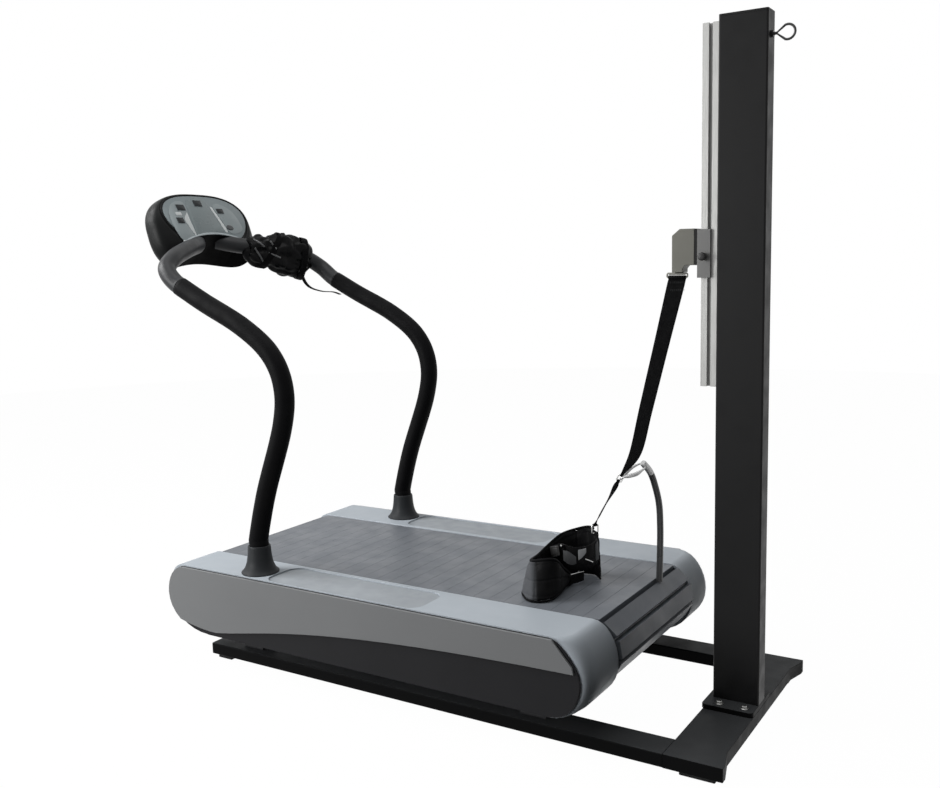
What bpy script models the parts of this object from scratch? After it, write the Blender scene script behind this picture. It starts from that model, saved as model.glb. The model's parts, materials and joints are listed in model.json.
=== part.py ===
"""Non-motorized treadmill with a tether tower, in metres, +Z up, rear tower at +X."""

import math

import bmesh
import bpy
import numpy as np
from mathutils import Matrix, Vector

# Overall sizes: the length is the sum of four stretches, the width is that of the body
CONSOLE_OVERHANG = 0.337
BODY_LENGTH = 1.544
FRAME_TAIL = 0.323
EYE_OVERHANG = 0.046
BODY_WIDTH = 0.946
TOWER_HEIGHT = 1.928
DECK_TOP = 0.333
BODY_UNDERSIDE = 0.110

# Clearances: between touching pieces, and round things that turn or slide
GAP = 0.0003
RUNNING = 0.0005

# Body ends, each an upper and a lower quarter ellipse
NOSE_UPPER = (0.075, 0.097)
NOSE_LOWER_LENGTH = 0.170
TAIL_UPPER = (0.075, 0.115)
TAIL_LOWER_LENGTH = 0.120
COVER_NOSE_LENGTH = 0.058
TAIL_TUCK = 0.026
TAIL_ROUND = 0.054
COVER_THICKNESS = 0.010
COVER_WIDTH = 0.173
PANEL_THICKNESS = 0.0067

# Slat belt and its drums
BELT_WIDTH = 0.560
SLAT_PITCH = 0.0507
SLAT_THICKNESS = 0.018
SLAT_GROOVE = 0.0008
CARRIER_THICKNESS = 0.006
DRUM_RADIUS = 0.0657
AXLE_RADIUS = 0.015
BEARING_RADIUS = 0.030

# Chassis
CHASSIS_THICKNESS = 0.030
CHASSIS_BOTTOM = 0.118
FRONT_LOBE = 0.070
REAR_LOBE = 0.068
CROSS_BOTTOM = 0.200
CROSS_LENGTH = 0.080

# Floor frame
FRAME_HALF_WIDTH = 0.393
FRAME_TUBE_WIDTH = 0.095
FRAME_TUBE_HEIGHT = 0.038
FRAME_WALL = 0.004
FRAME_SETBACK = 0.109
PAD_HEIGHT = 0.012
PLATE_LENGTH = 0.158

# Tower
COLUMN_DEPTH = 0.130
COLUMN_WIDTH = 0.062
COLUMN_WALL = 0.004
COLUMN_SETBACK = 0.017
FLANGE_THICKNESS = 0.014
RAIL_SIDE = 0.045
RAIL_BOTTOM = 0.950
RAIL_TOP = 1.913
CARRIAGE_HEIGHT = 1.312

# Handrails and console
HANDRAIL_RADIUS = 0.031
ARM_RADIUS = 0.029
HANDRAIL_SPACING = 0.790
HANDRAIL_SETBACK = 0.350
CONSOLE_HALF = (0.235, 0.150, 0.076)
CONSOLE_EXPONENT = 2.8
CONSOLE_HEIGHT = 1.425
CONSOLE_TILT = math.radians(18)
FACE_TILT = math.radians(30)
FACE_SETBACK = 0.156
ARCH_RADIUS = 0.373
ARCH_SLOPE = math.radians(47)

# Tether
RING_WIRE = 0.002
HOOK_WIRE = 0.0027
STRAP_THICKNESS = 0.0025
WAIST_THICKNESS = 0.013

# Positions that follow from the sizes
CONSOLE_FRONT = -(CONSOLE_OVERHANG + BODY_LENGTH + FRAME_TAIL + EYE_OVERHANG) / 2
BODY_FRONT = CONSOLE_FRONT + CONSOLE_OVERHANG
BODY_REAR = BODY_FRONT + BODY_LENGTH
FRAME_REAR = BODY_REAR + FRAME_TAIL
EYE_REAR = FRAME_REAR + EYE_OVERHANG
NOSE_Z = DECK_TOP - NOSE_UPPER[1]
TAIL_Z = DECK_TOP - TAIL_UPPER[1]
HALF_WIDTH = BODY_WIDTH / 2
PANEL_INNER = HALF_WIDTH - 2 * PANEL_THICKNESS - GAP
COVER_OUTER = PANEL_INNER - GAP
COVER_INNER = COVER_OUTER - COVER_WIDTH
SLAT_TOP = DECK_TOP - 0.002
PITCH_RADIUS = DRUM_RADIUS + GAP + CARRIER_THICKNESS
AXLE_Z = SLAT_TOP - SLAT_THICKNESS - PITCH_RADIUS
FRONT_AXLE = BODY_FRONT + PITCH_RADIUS + SLAT_THICKNESS
REAR_AXLE = BODY_REAR - PITCH_RADIUS - 0.012
CHASSIS_TOP = DECK_TOP - COVER_THICKNESS - GAP
CHASSIS_INNER = BELT_WIDTH / 2 + 0.010
CHASSIS_OUTER = CHASSIS_INNER + CHASSIS_THICKNESS
BED_TOP = AXLE_Z + DRUM_RADIUS
FRAME_TOP = PAD_HEIGHT + FRAME_TUBE_HEIGHT
FRAME_FRONT = BODY_FRONT + FRAME_SETBACK
PLATE_FRONT = FRAME_REAR - PLATE_LENGTH
COLUMN_REAR = FRAME_REAR - COLUMN_SETBACK
COLUMN_FRONT = COLUMN_REAR - COLUMN_DEPTH
FLANGE_TOP = FRAME_TOP + GAP + FLANGE_THICKNESS
RAIL_X = COLUMN_FRONT - GAP - RAIL_SIDE / 2
HANDRAIL_Y = HANDRAIL_SPACING / 2
HANDRAIL_X = BODY_FRONT + HANDRAIL_SETBACK
SIDES = (("near", -1), ("far", 1))

# Clear the scene and set up the two collections
for old in list(bpy.data.objects):
    bpy.data.objects.remove(old)
parts = bpy.data.collections.new("treadmill")
cutters = bpy.data.collections.new("cutters")
bpy.context.scene.collection.children.link(parts)
bpy.context.scene.collection.children.link(cutters)


def finish(name, colour, roughness, metallic):
    """A Principled material; colour is linear."""
    made = bpy.data.materials.new(name)
    made.use_nodes = True
    shader = made.node_tree.nodes["Principled BSDF"]
    shader.inputs["Base Color"].default_value = (*colour, 1.0)
    shader.inputs["Roughness"].default_value = roughness
    shader.inputs["Metallic"].default_value = metallic
    return made


BLACK_PAINT = ((0.016, 0.016, 0.017), 0.45, 0.0)
FRAME_PAINT = ((0.030, 0.032, 0.034), 0.40, 0.0)
SILVER = ((0.42, 0.46, 0.52), 0.32, 0.85)
GREY_PANEL = ((0.17, 0.175, 0.185), 0.40, 0.3)
LOWER_PANEL = ((0.020, 0.020, 0.022), 0.42, 0.0)
STRIP_GREY = ((0.26, 0.28, 0.32), 0.50, 0.2)
BELT_GREY = ((0.080, 0.084, 0.092), 0.45, 0.0)
RUBBER = ((0.015, 0.015, 0.015), 0.85, 0.0)
ALUMINIUM = ((0.55, 0.56, 0.57), 0.35, 1.0)
STEEL = ((0.50, 0.50, 0.49), 0.30, 1.0)
BRACKET_GREY = ((0.155, 0.155, 0.138), 0.45, 0.6)
CARRIAGE_GREY = ((0.060, 0.060, 0.060), 0.45, 0.3)
GRIP_FOAM = ((0.014, 0.014, 0.015), 0.70, 0.0)
BOOT_GREY = ((0.040, 0.042, 0.045), 0.55, 0.0)
ARM_GREY = ((0.055, 0.058, 0.062), 0.35, 0.2)
HOOD = ((0.025, 0.026, 0.028), 0.38, 0.0)
FACE_SILVER = ((0.22, 0.26, 0.30), 0.30, 0.4)
WEBBING = ((0.012, 0.012, 0.013), 0.80, 0.0)
BRIGHT = ((0.72, 0.72, 0.72), 0.18, 1.0)
CAST = ((0.090, 0.090, 0.095), 0.55, 0.5)


def place(name, mesh, look=None):
    """Link a mesh or curve as a finished piece, or as a cutter when it has no look."""
    obj = bpy.data.objects.new(name, mesh)
    if look is None:
        cutters.objects.link(obj)
        obj.hide_render = True
        obj.display_type = "WIRE"
    else:
        parts.objects.link(obj)
        obj.data.materials.append(finish(name, *look))
    return obj


def bevel(obj, width, segments=2, angle=40):
    step = obj.modifiers.new("Bevel", "BEVEL")
    step.width = width
    step.segments = segments
    step.limit_method = "ANGLE"
    step.angle_limit = math.radians(angle)
    return obj


def boolean(obj, other, operation="DIFFERENCE"):
    step = obj.modifiers.new("Boolean", "BOOLEAN")
    step.operation = operation
    step.solver = "EXACT"
    step.object = other
    return obj


def shade(obj, angle=35):
    """Smooth shading on round pieces, with real edges kept sharp."""
    obj.data.shade_smooth()
    obj.data.set_sharp_from_angle(angle=math.radians(angle))
    return obj


def box(name, low, high, look=None, edge=0.0, segments=1):
    low = Vector(low)
    high = Vector(high)
    mesh = bpy.data.meshes.new(name)
    bm = bmesh.new()
    bmesh.ops.create_cube(bm, size=1.0)
    bmesh.ops.scale(bm, vec=high - low, verts=bm.verts)
    bm.to_mesh(mesh)
    bm.free()
    obj = place(name, mesh, look)
    obj.location = (low + high) / 2
    if edge:
        bevel(obj, edge, segments)
    return obj


def between(side, inner, outer):
    """The span in Y of a piece that lies between two half widths on one side."""
    return min(side * inner, side * outer), max(side * inner, side * outer)


def side_box(name, side, xs, halves, zs, look=None, edge=0.0):
    low, high = between(side, *halves)
    return box(name, (xs[0], low, zs[0]), (xs[1], high, zs[1]), look, edge)


def meshed(curve_obj, name, look):
    """Turn an evaluated curve object into a mesh object with its vertices joined."""
    bpy.context.view_layer.update()
    graph = bpy.context.evaluated_depsgraph_get()
    mesh = bpy.data.meshes.new_from_object(curve_obj.evaluated_get(graph))
    mesh.materials.clear()
    bm = bmesh.new()
    bm.from_mesh(mesh)
    bmesh.ops.remove_doubles(bm, verts=bm.verts, dist=0.000001)
    bmesh.ops.recalc_face_normals(bm, faces=bm.faces)
    bm.to_mesh(mesh)
    bm.free()
    turn = curve_obj.matrix_world.copy()
    bpy.data.objects.remove(curve_obj)
    obj = place(name, mesh, look)
    obj.matrix_world = turn
    return obj


AXIS_TURN = {
    "X": Matrix(((0, 0, 1), (1, 0, 0), (0, 1, 0))).to_4x4(),
    "Y": Matrix(((1, 0, 0), (0, 0, -1), (0, 1, 0))).to_4x4(),
    "Z": Matrix.Identity(4),
}


def plate(name, outlines, axis, low, high, look=None, edge=0.0, segments=1):
    """Closed outlines in the plane square to an axis, filled and extruded from low to high."""
    curve = bpy.data.curves.new(name, "CURVE")
    curve.dimensions = "2D"
    curve.fill_mode = "BOTH"
    curve.extrude = (high - low) / 2
    for outline in outlines:
        spline = curve.splines.new("POLY")
        spline.points.add(len(outline) - 1)
        for point, (u, v) in zip(spline.points, outline):
            point.co = (u, v, 0.0, 1.0)
        spline.use_cyclic_u = True
    flat = bpy.data.objects.new("outline", curve)
    parts.objects.link(flat)
    middle = (low + high) / 2
    shift = {"X": (middle, 0, 0), "Y": (0, middle, 0), "Z": (0, 0, middle)}[axis]
    flat.matrix_world = Matrix.Translation(shift) @ AXIS_TURN[axis]
    obj = meshed(flat, name, look)
    if edge:
        bevel(obj, edge, segments)
    return obj


def tube(name, points, radius, look=None, closed=False, rings=4):
    """A round rod along points, with closed ends unless it is a loop."""
    curve = bpy.data.curves.new(name, "CURVE")
    curve.dimensions = "3D"
    curve.fill_mode = "FULL"
    curve.bevel_depth = radius
    curve.bevel_resolution = rings
    curve.use_fill_caps = not closed
    spline = curve.splines.new("POLY")
    spline.points.add(len(points) - 1)
    for point, where in zip(spline.points, points):
        point.co = (*where, 1.0)
    spline.use_cyclic_u = closed
    flat = bpy.data.objects.new("path", curve)
    parts.objects.link(flat)
    return shade(meshed(flat, name, look), 50)


def turned(name, profile, steps, look=None, closed=False, axis="Z", centre=(0, 0, 0)):
    """A Screw of a profile (radius, height), read down its outer side."""
    mesh = bpy.data.meshes.new(name)
    rim = [(i, i + 1) for i in range(len(profile) - 1)]
    if closed:
        rim.append((len(profile) - 1, 0))
    mesh.from_pydata([(r, 0.0, z) for r, z in profile], rim, [])
    obj = place(name, mesh, look)
    step = obj.modifiers.new("Screw", "SCREW")
    step.steps = steps
    step.render_steps = steps
    step.use_merge_vertices = True
    step.merge_threshold = 0.00001
    step.use_smooth_shade = True
    obj.matrix_world = Matrix.Translation(centre) @ AXIS_TURN[axis]
    return obj


def rod(name, start, end, radius, look=None, sides=16):
    """A plain cylinder between two points."""
    start = Vector(start)
    end = Vector(end)
    mesh = bpy.data.meshes.new(name)
    bm = bmesh.new()
    bmesh.ops.create_cone(bm, cap_ends=True, segments=sides, radius1=radius, radius2=radius,
                          depth=(end - start).length)
    bm.to_mesh(mesh)
    bm.free()
    obj = place(name, mesh, look)
    turn = (end - start).to_track_quat("Z", "Y").to_matrix().to_4x4()
    obj.matrix_world = Matrix.Translation((start + end) / 2) @ turn
    return obj


def smooth_path(points, steps, start=None, end=None):
    """Points read from a smooth curve through the given ones, with optional end directions."""
    points = [Vector(p) for p in points]
    slopes = [(points[min(i + 1, len(points) - 1)] - points[max(i - 1, 0)]) / 2
              for i in range(len(points))]
    slopes[0] = points[1] - points[0]
    slopes[-1] = points[-1] - points[-2]
    if start is not None:
        slopes[0] = Vector(start).normalized() * slopes[0].length
    if end is not None:
        slopes[-1] = Vector(end).normalized() * slopes[-1].length
    path = []
    for i in range(len(points) - 1):
        for k in range(steps):
            t = k / steps
            path.append(points[i] * (2 * t ** 3 - 3 * t ** 2 + 1) + slopes[i] * (t ** 3 - 2 * t ** 2 + t)
                        + points[i + 1] * (3 * t ** 2 - 2 * t ** 3) + slopes[i + 1] * (t ** 3 - t ** 2))
    path.append(points[-1])
    return path


def ribbon(name, edges, thickness, look=None, steps=4, crown=0.0):
    """A flat band between two smooth edges, given a thickness about its middle."""
    left = smooth_path([e[0] for e in edges], steps)
    right = smooth_path([e[1] for e in edges], steps)
    points = [p for pair in zip(left, right) for p in pair]
    faces = [(2 * i, 2 * i + 1, 2 * i + 3, 2 * i + 2) for i in range(len(left) - 1)]
    mesh = bpy.data.meshes.new(name)
    mesh.from_pydata(points, [], faces)
    obj = place(name, mesh, look)
    step = obj.modifiers.new("Solidify", "SOLIDIFY")
    step.thickness = thickness
    step.offset = 0.0
    if crown:
        bevel(obj, crown)
    return obj


def ellipsoid(name, centre, halves, turn, exponent=2.0, look=None, segments=32):
    """A ball stretched to three half axes; a higher exponent makes it boxier."""
    mesh = bpy.data.meshes.new(name)
    bm = bmesh.new()
    bmesh.ops.create_uvsphere(bm, u_segments=segments, v_segments=segments // 2, radius=1.0)
    for vert in bm.verts:
        reach = sum(abs(c) ** exponent for c in vert.co) ** (-1.0 / exponent)
        vert.co = [c * reach * h for c, h in zip(vert.co, halves)]
    bm.to_mesh(mesh)
    bm.free()
    obj = place(name, mesh, look)
    obj.matrix_world = Matrix.Translation(centre) @ turn
    return obj


def arc(cx, cz, a, b, start, end, steps):
    """Points on an ellipse between two angles in degrees."""
    angles = np.radians(np.linspace(start, end, steps + 1))
    return [(cx + a * math.cos(t), cz + b * math.sin(t)) for t in angles]


def rounded(low, high, radius, steps=4):
    """A rectangle with round corners."""
    (u0, v0), (u1, v1) = low, high
    r = radius
    return (arc(u1 - r, v0 + r, r, r, -90, 0, steps) + arc(u1 - r, v1 - r, r, r, 0, 90, steps)
            + arc(u0 + r, v1 - r, r, r, 90, 180, steps) + arc(u0 + r, v0 + r, r, r, 180, 270, steps))


def body_path(inset, tail_end, nose_end, tuck=0.0, nose_length=NOSE_UPPER[0]):
    """The body's side outline, from under the tail over the top to under the nose."""
    bottom = BODY_UNDERSIDE
    tail = (BODY_REAR - TAIL_UPPER[0], TAIL_Z, TAIL_UPPER[0] - inset, TAIL_UPPER[1] - inset)
    tail_low = (BODY_REAR - TAIL_LOWER_LENGTH, TAIL_Z, TAIL_LOWER_LENGTH - inset, TAIL_Z - bottom - inset)
    nose = (BODY_FRONT + nose_length, NOSE_Z, nose_length - inset, NOSE_UPPER[1] - inset)
    nose_low = (BODY_FRONT + NOSE_LOWER_LENGTH, NOSE_Z, NOSE_LOWER_LENGTH - inset, NOSE_Z - bottom - inset)
    tail_path = []
    for (x, z), turn in zip(arc(*tail_low, -90, 0, 8) + arc(*tail, 0, 90, 8)[1:], np.radians(np.linspace(-90, 90, 17))):
        if turn < 0:
            pull = TAIL_TUCK * math.cos(turn)
        else:
            pull = TAIL_TUCK + 0.022 * math.sin(turn) ** 2 + 0.009 * math.sin(2 * turn) ** 2
        tail_path.append((x - tuck * pull, z))
    return ([(tail_end, bottom + inset)] + tail_path
            + arc(*nose, 90, 180, 8) + arc(*nose_low, 180, 270, 8)[1:] + [(nose_end, bottom + inset)])


def rounded_shell(name, side, look):
    """A cover along one side, whose tail rounds inward before it meets the side panels."""
    start = COVER_OUTER - TAIL_ROUND
    halves = [COVER_INNER, start] + [start + TAIL_ROUND * s for s in (0.37, 0.667, 0.852, 0.963, 1.0)]
    bm = bmesh.new()
    outer, inner = [], []
    for half in halves:
        share = max(0.0, (half - start) / TAIL_ROUND)
        tuck = 1 - math.sqrt(max(0.0, 1 - share * share))
        for inset, rings in ((0.0, outer), (COVER_THICKNESS, inner)):
            path = body_path(inset, 0.0, BODY_FRONT + NOSE_LOWER_LENGTH + 0.020, tuck, COVER_NOSE_LENGTH)[1:]
            full = half in (halves[0], halves[-1])
            rings.append([bm.verts.new((x, side * half, z)) if full or i <= 16 else None
                          for i, (x, z) in enumerate(path)])
    for rings in (outer, inner):
        for low, high in zip(rings, rings[1:]):
            for i in range(16):
                bm.faces.new((low[i], low[i + 1], high[i + 1], high[i]))
        bm.faces.new([ring[16] for ring in rings] + [rings[-1][17], rings[0][17]])
        for i in range(17, len(rings[0]) - 1):
            bm.faces.new((rings[0][i], rings[0][i + 1], rings[-1][i + 1], rings[-1][i]))
    for j in range(len(halves) - 1):
        bm.faces.new((outer[j][0], outer[j + 1][0], inner[j + 1][0], inner[j][0]))
    bm.faces.new((outer[0][-1], outer[-1][-1], inner[-1][-1], inner[0][-1]))
    for j in (0, -1):
        for i in range(len(outer[0]) - 1):
            bm.faces.new((outer[j][i], outer[j][i + 1], inner[j][i + 1], inner[j][i]))
    bmesh.ops.recalc_face_normals(bm, faces=bm.faces)
    mesh = bpy.data.meshes.new(name)
    bm.to_mesh(mesh)
    bm.free()
    return place(name, mesh, look)


def bezier(p0, p1, p2, p3, steps):
    """Points on one cubic Bezier stretch, ends included."""
    out = []
    for i in range(steps + 1):
        t = i / steps
        w = ((1 - t) ** 3, 3 * t * (1 - t) ** 2, 3 * t * t * (1 - t), t ** 3)
        out.append(tuple(w[0] * a + w[1] * b + w[2] * c + w[3] * d for a, b, c, d in zip(p0, p1, p2, p3)))
    return out


# Floor frame: two side tubes, a front cross tube and the rear base plate on four pads
tube_inner = FRAME_HALF_WIDTH - FRAME_TUBE_WIDTH
for word, side in SIDES:
    y0, y1 = between(side, tube_inner, FRAME_HALF_WIDTH)
    wall = FRAME_WALL
    outer = rounded((y0, PAD_HEIGHT), (y1, FRAME_TOP), 0.004, 3)
    inner = rounded((y0 + wall, PAD_HEIGHT + wall), (y1 - wall, FRAME_TOP - wall), 0.001, 1)
    plate("frame_tube_" + word, [outer, inner], "X", FRAME_FRONT, PLATE_FRONT - GAP, FRAME_PAINT)

cross_far = FRAME_FRONT + 0.080
plate("frame_cross_front",
      [rounded((FRAME_FRONT, PAD_HEIGHT), (cross_far, FRAME_TOP), 0.004, 3),
       rounded((FRAME_FRONT + FRAME_WALL, PAD_HEIGHT + FRAME_WALL),
               (cross_far - FRAME_WALL, FRAME_TOP - FRAME_WALL), 0.001, 1)],
      "Y", -tube_inner + GAP, tube_inner - GAP, FRAME_PAINT)

ear = FRAME_HALF_WIDTH - 0.021
notch = FRAME_HALF_WIDTH - 0.088
half_outline = [(FRAME_REAR, FRAME_HALF_WIDTH), (FRAME_REAR, ear), (COLUMN_REAR, notch)]
plate_outline = ([(PLATE_FRONT, FRAME_HALF_WIDTH)] + half_outline
                 + [(x, -y) for x, y in reversed(half_outline)] + [(PLATE_FRONT, -FRAME_HALF_WIDTH)])
base = plate("rear_base_plate", [plate_outline], "Z", PAD_HEIGHT, FRAME_TOP, FRAME_PAINT)
hollow = box("base_hollow", (PLATE_FRONT + 0.012, -0.240, -0.010), (COLUMN_REAR - 0.012, 0.240, FRAME_TOP - 0.008))
boolean(base, hollow)
bevel(base, 0.003, 1)

pad_spots = {
    "front": (FRAME_FRONT + 0.019, FRAME_FRONT + 0.079),
    "rear": (FRAME_REAR - 0.117, FRAME_REAR - 0.022),
}
for end, xs in pad_spots.items():
    for word, side in SIDES:
        halves = (FRAME_HALF_WIDTH - 0.088, FRAME_HALF_WIDTH - 0.008)
        side_box("foot_pad_" + end + "_" + word, side, xs, halves, (0.0, PAD_HEIGHT - GAP), RUBBER, 0.002)

# Tower: flange, hollow column, cap and the wire eye behind its top
plate("column_flange", [rounded((COLUMN_FRONT - 0.015, -0.088), (COLUMN_REAR, 0.088), 0.012)],
      "Z", FRAME_TOP + GAP, FLANGE_TOP, FRAME_PAINT, 0.002, 2)
cap_bottom = TOWER_HEIGHT - 0.006
half = COLUMN_WIDTH / 2
wall = COLUMN_WALL
column = plate("column",
               [rounded((COLUMN_FRONT, -half), (COLUMN_REAR, half), 0.005),
                rounded((COLUMN_FRONT + wall, -half + wall), (COLUMN_REAR - wall, half - wall), 0.002, 2)],
               "Z", FLANGE_TOP + GAP, cap_bottom - GAP, BLACK_PAINT)
cap = plate("column_cap", [rounded((COLUMN_FRONT, -half), (COLUMN_REAR, half), 0.005)],
            "Z", cap_bottom, TOWER_HEIGHT, BLACK_PAINT, 0.0015, 2)
inside = wall + RUNNING
spigot = plate("spigot", [rounded((COLUMN_FRONT + inside, -half + inside),
                                  (COLUMN_REAR - inside, half - inside), 0.002, 2)],
               "Z", cap_bottom - 0.018, cap_bottom + 0.002)
boolean(cap, spigot, "UNION")

eye_z = TOWER_HEIGHT - 0.061
eye_wire = 0.0033
loop_rear = EYE_REAR - eye_wire
loop_front = COLUMN_REAR + 0.012
loop_mid = loop_rear - 0.0187
drop = [(loop_mid + 0.0187 * math.cos(t), 0.0, eye_z + 0.0187 * math.sin(t))
        for t in np.radians(np.linspace(-110, 110, 15))]
drop = [(loop_front, 0.0, eye_z)] + drop
eye = tube("eye_bolt", drop, eye_wire, STEEL, closed=True, rings=2)
boolean(eye, rod("eye_shank", (COLUMN_REAR - 0.016, 0, eye_z), (loop_front + 0.003, 0, eye_z), 0.004, sides=12),
        "UNION")
boolean(eye, rod("eye_collar", (COLUMN_REAR + GAP, 0, eye_z), (COLUMN_REAR + 0.006, 0, eye_z), 0.009),
        "UNION")
boolean(column, rod("eye_hole", (COLUMN_REAR - 0.008, 0, eye_z), (COLUMN_REAR + 0.005, 0, eye_z), 0.0043))

# Slotted rail on the column's front face
quarter = [(0.5, -0.5), (0.5, -0.111), (0.4, -0.111), (0.4, -0.222), (0.311, -0.222), (0.233, -0.144),
           (0.233, 0.144), (0.311, 0.222), (0.4, 0.222), (0.4, 0.111), (0.5, 0.111)]
rail_outline = []
for turn in range(4):
    c, s = round(math.cos(turn * math.pi / 2)), round(math.sin(turn * math.pi / 2))
    rail_outline += [(RAIL_X + RAIL_SIDE * (c * u - s * v), RAIL_SIDE * (s * u + c * v)) for u, v in quarter]
bore = [(RAIL_X + x, y) for x, y in arc(0, 0, 0.004, 0.004, 0, 330, 11)]
plate("rail", [rail_outline, bore], "Z", RAIL_BOTTOM, RAIL_TOP, ALUMINIUM)

# Carriage that rides in the rail's side slots, with its clamp knob
rail_front = RAIL_X - RAIL_SIDE / 2
rail_half = RAIL_SIDE / 2
carriage_front = rail_front - RUNNING - 0.0075
cheek = rail_half + GAP
lip = 0.0045
half_c = [(carriage_front, cheek + 0.0102), (RAIL_X + 0.0058, cheek + 0.0102), (RAIL_X + 0.0058, cheek + 0.0006),
          (RAIL_X + lip, cheek + 0.0006), (RAIL_X + lip, rail_half - 0.006), (RAIL_X - lip, rail_half - 0.006),
          (RAIL_X - lip, cheek), (rail_front - RUNNING, cheek)]
c_outline = half_c + [(x, -y) for x, y in reversed(half_c)]
carriage = plate("carriage", [c_outline], "Z", CARRIAGE_HEIGHT - 0.065, CARRIAGE_HEIGHT + 0.065, CARRIAGE_GREY)
knob_x = RAIL_X - 0.0122
knob_z = CARRIAGE_HEIGHT - 0.008
cheek_outer = cheek + 0.0102
boolean(carriage, rod("knob_hole", (knob_x, -cheek_outer - 0.005, knob_z), (knob_x, -cheek + 0.004, knob_z), 0.0034))
grip = cheek_outer + GAP
turned("clamp_knob",
       [(0.0, grip + 0.022), (0.008, grip + 0.022), (0.011, grip + 0.019), (0.011, grip + 0.006),
        (0.0095, grip + 0.003), (0.0065, grip), (0.003, grip), (0.003, cheek + GAP), (0.0, cheek + GAP)],
       20, RUBBER, axis="Y", centre=(knob_x, 0, knob_z))

# Spacer, load-cell housing and the strap eye below its neck
spacer_rear = carriage_front - GAP
spacer_front = spacer_rear - 0.0117
box("spacer_plate", (spacer_front, -0.022, CARRIAGE_HEIGHT - 0.031),
    (spacer_rear, 0.022, CARRIAGE_HEIGHT + 0.067), BLACK_PAINT, 0.001)
cell_rear = spacer_front - GAP
cell = [(-0.0637, 0.050), (-0.0417, 0.068), (0.0, 0.068), (0.0, -0.031), (-0.026, -0.031),
        (-0.033, -0.040), (-0.033, -0.050), (-0.0637, -0.050)]
plate("load_cell_housing", [[(cell_rear + x, CARRIAGE_HEIGHT + z) for x, z in cell]], "Y",
      -0.022, 0.022, BRACKET_GREY, 0.0015, 2)
eye_half = 0.0295
wire = 0.0025
eye_x = cell_rear - 0.0557
bar_top = CARRIAGE_HEIGHT - 0.050 - GAP - wire
bar_low = bar_top - 0.0112
eye_path = [(x, 0.0, z) for x, z in rounded((eye_x - eye_half, bar_low), (eye_x + eye_half, bar_top), 0.0035, 3)]
tube("strap_eye", eye_path, wire, STEEL, closed=True, rings=2)

# The tether's lower pieces are placed from the body's rear end and the deck


def behind(x, y, z):
    """A point given from the body's rear end, the middle and the deck."""
    return Vector((BODY_REAR + x, y, DECK_TOP + z))


# Junction ring, a rectangular wire loop that the straps and the hook meet in
ring_up = Vector((0.5, 0.0, 0.8660254))
ring_bar = Vector((0.8660254, 0.0, -0.5))
ring_centre = behind(-0.119, 0.0, 0.330)
ring_flat = rounded((-0.008, -0.0105), (0.008, 0.0105), 0.003, 3)
ring_path = [ring_centre + ring_bar * u + ring_up * v for u, v in ring_flat]
tube("strap_ring", ring_path, RING_WIRE, BRIGHT, closed=True, rings=2)
ring_top = ring_centre + ring_up * 0.0105
ring_low = ring_centre - ring_up * 0.0105
sewn = ring_bar * 0.0045

# Tether strap from the strap eye to the ring, sewn round both bars
top_bar = Vector((eye_x, 0.0, bar_low))
strap_top = top_bar - Vector((0.0, 0.0, 0.0038))
strap_knee = ring_centre + Vector((0.041, 0.0, 0.050))
strap_end = ring_top + ring_up * 0.0032
half_strap = Vector((0.0255, 0.0, 0.0))
strap_edges = [(strap_top - half_strap, strap_top + half_strap)]
run = strap_knee - strap_top
across = Vector((-run.z, 0.0, run.x)).normalized()
for share, reach in ((0.06, 0.0250), (0.35, 0.0215), (0.70, 0.0170), (0.94, 0.0095)):
    middle = strap_top + run * share
    strap_edges.append((middle - across * reach, middle + across * reach))
strap_edges.append((strap_end - sewn, strap_end + sewn))
strap = ribbon("tether_strap", strap_edges, STRAP_THICKNESS, WEBBING, steps=5)
boolean(strap, rod("sewn_top", top_bar - half_strap, top_bar + half_strap, 0.0054), "UNION")
boolean(strap, rod("sewn_low", ring_top - sewn, ring_top + sewn, 0.0048), "UNION")
boolean(strap, rod("bar_room_top", top_bar - half_strap * 1.2, top_bar + half_strap * 1.2, wire + GAP))
boolean(strap, rod("bar_room_low", ring_top - sewn * 2, ring_top + sewn * 2, RING_WIRE + GAP))

# Waist belt, a padded band that stands on the deck, curls round to its near end, and is closed by a strap
waist = [((-0.215, 0.050, 0.145), (-0.200, 0.035)), ((-0.256, 0.080, 0.149), (-0.236, 0.070)),
         ((-0.296, 0.070, 0.140), (-0.286, 0.060)), ((-0.333, 0.036, 0.126), (-0.322, 0.026)),
         ((-0.346, -0.025, 0.106), (-0.340, -0.035)), ((-0.344, -0.095, 0.094), (-0.348, -0.105)),
         ((-0.332, -0.162, 0.098), (-0.352, -0.180)), ((-0.306, -0.196, 0.107), (-0.298, -0.243)),
         ((-0.270, -0.206, 0.118), (-0.250, -0.227)), ((-0.241, -0.185, 0.116), (-0.244, -0.169)),
         ((-0.250, -0.119, 0.075), (-0.261, -0.080)), ((-0.250, -0.072, 0.042), (-0.272, -0.020))]
waist_edges = []
for rim, base in waist:
    rim = behind(*rim)
    foot = behind(*base, -0.002)
    lean = Vector((rim.x - foot.x, rim.y - foot.y)).length / (rim - foot).length
    foot.z = SLAT_TOP + GAP + 0.0025 * lean
    waist_edges.append((rim, foot))
waist_belt = ribbon("waist_belt", waist_edges, WAIST_THICKNESS, WEBBING, steps=2, crown=0.004)
closing = [((-0.344, -0.012, 0.098), (-0.344, -0.012, 0.048)), ((-0.292, -0.050, 0.122), (-0.290, -0.050, 0.062)),
           ((-0.252, -0.035, 0.112), (-0.252, -0.030, 0.040)), ((-0.222, 0.004, 0.113), (-0.222, 0.006, 0.036)),
           ((-0.214, 0.038, 0.125), (-0.210, 0.036, 0.050)), ((-0.221, 0.055, 0.126), (-0.214, 0.048, 0.055))]
closing_edges = [(behind(*upper), behind(*lower)) for upper, lower in closing]
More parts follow.
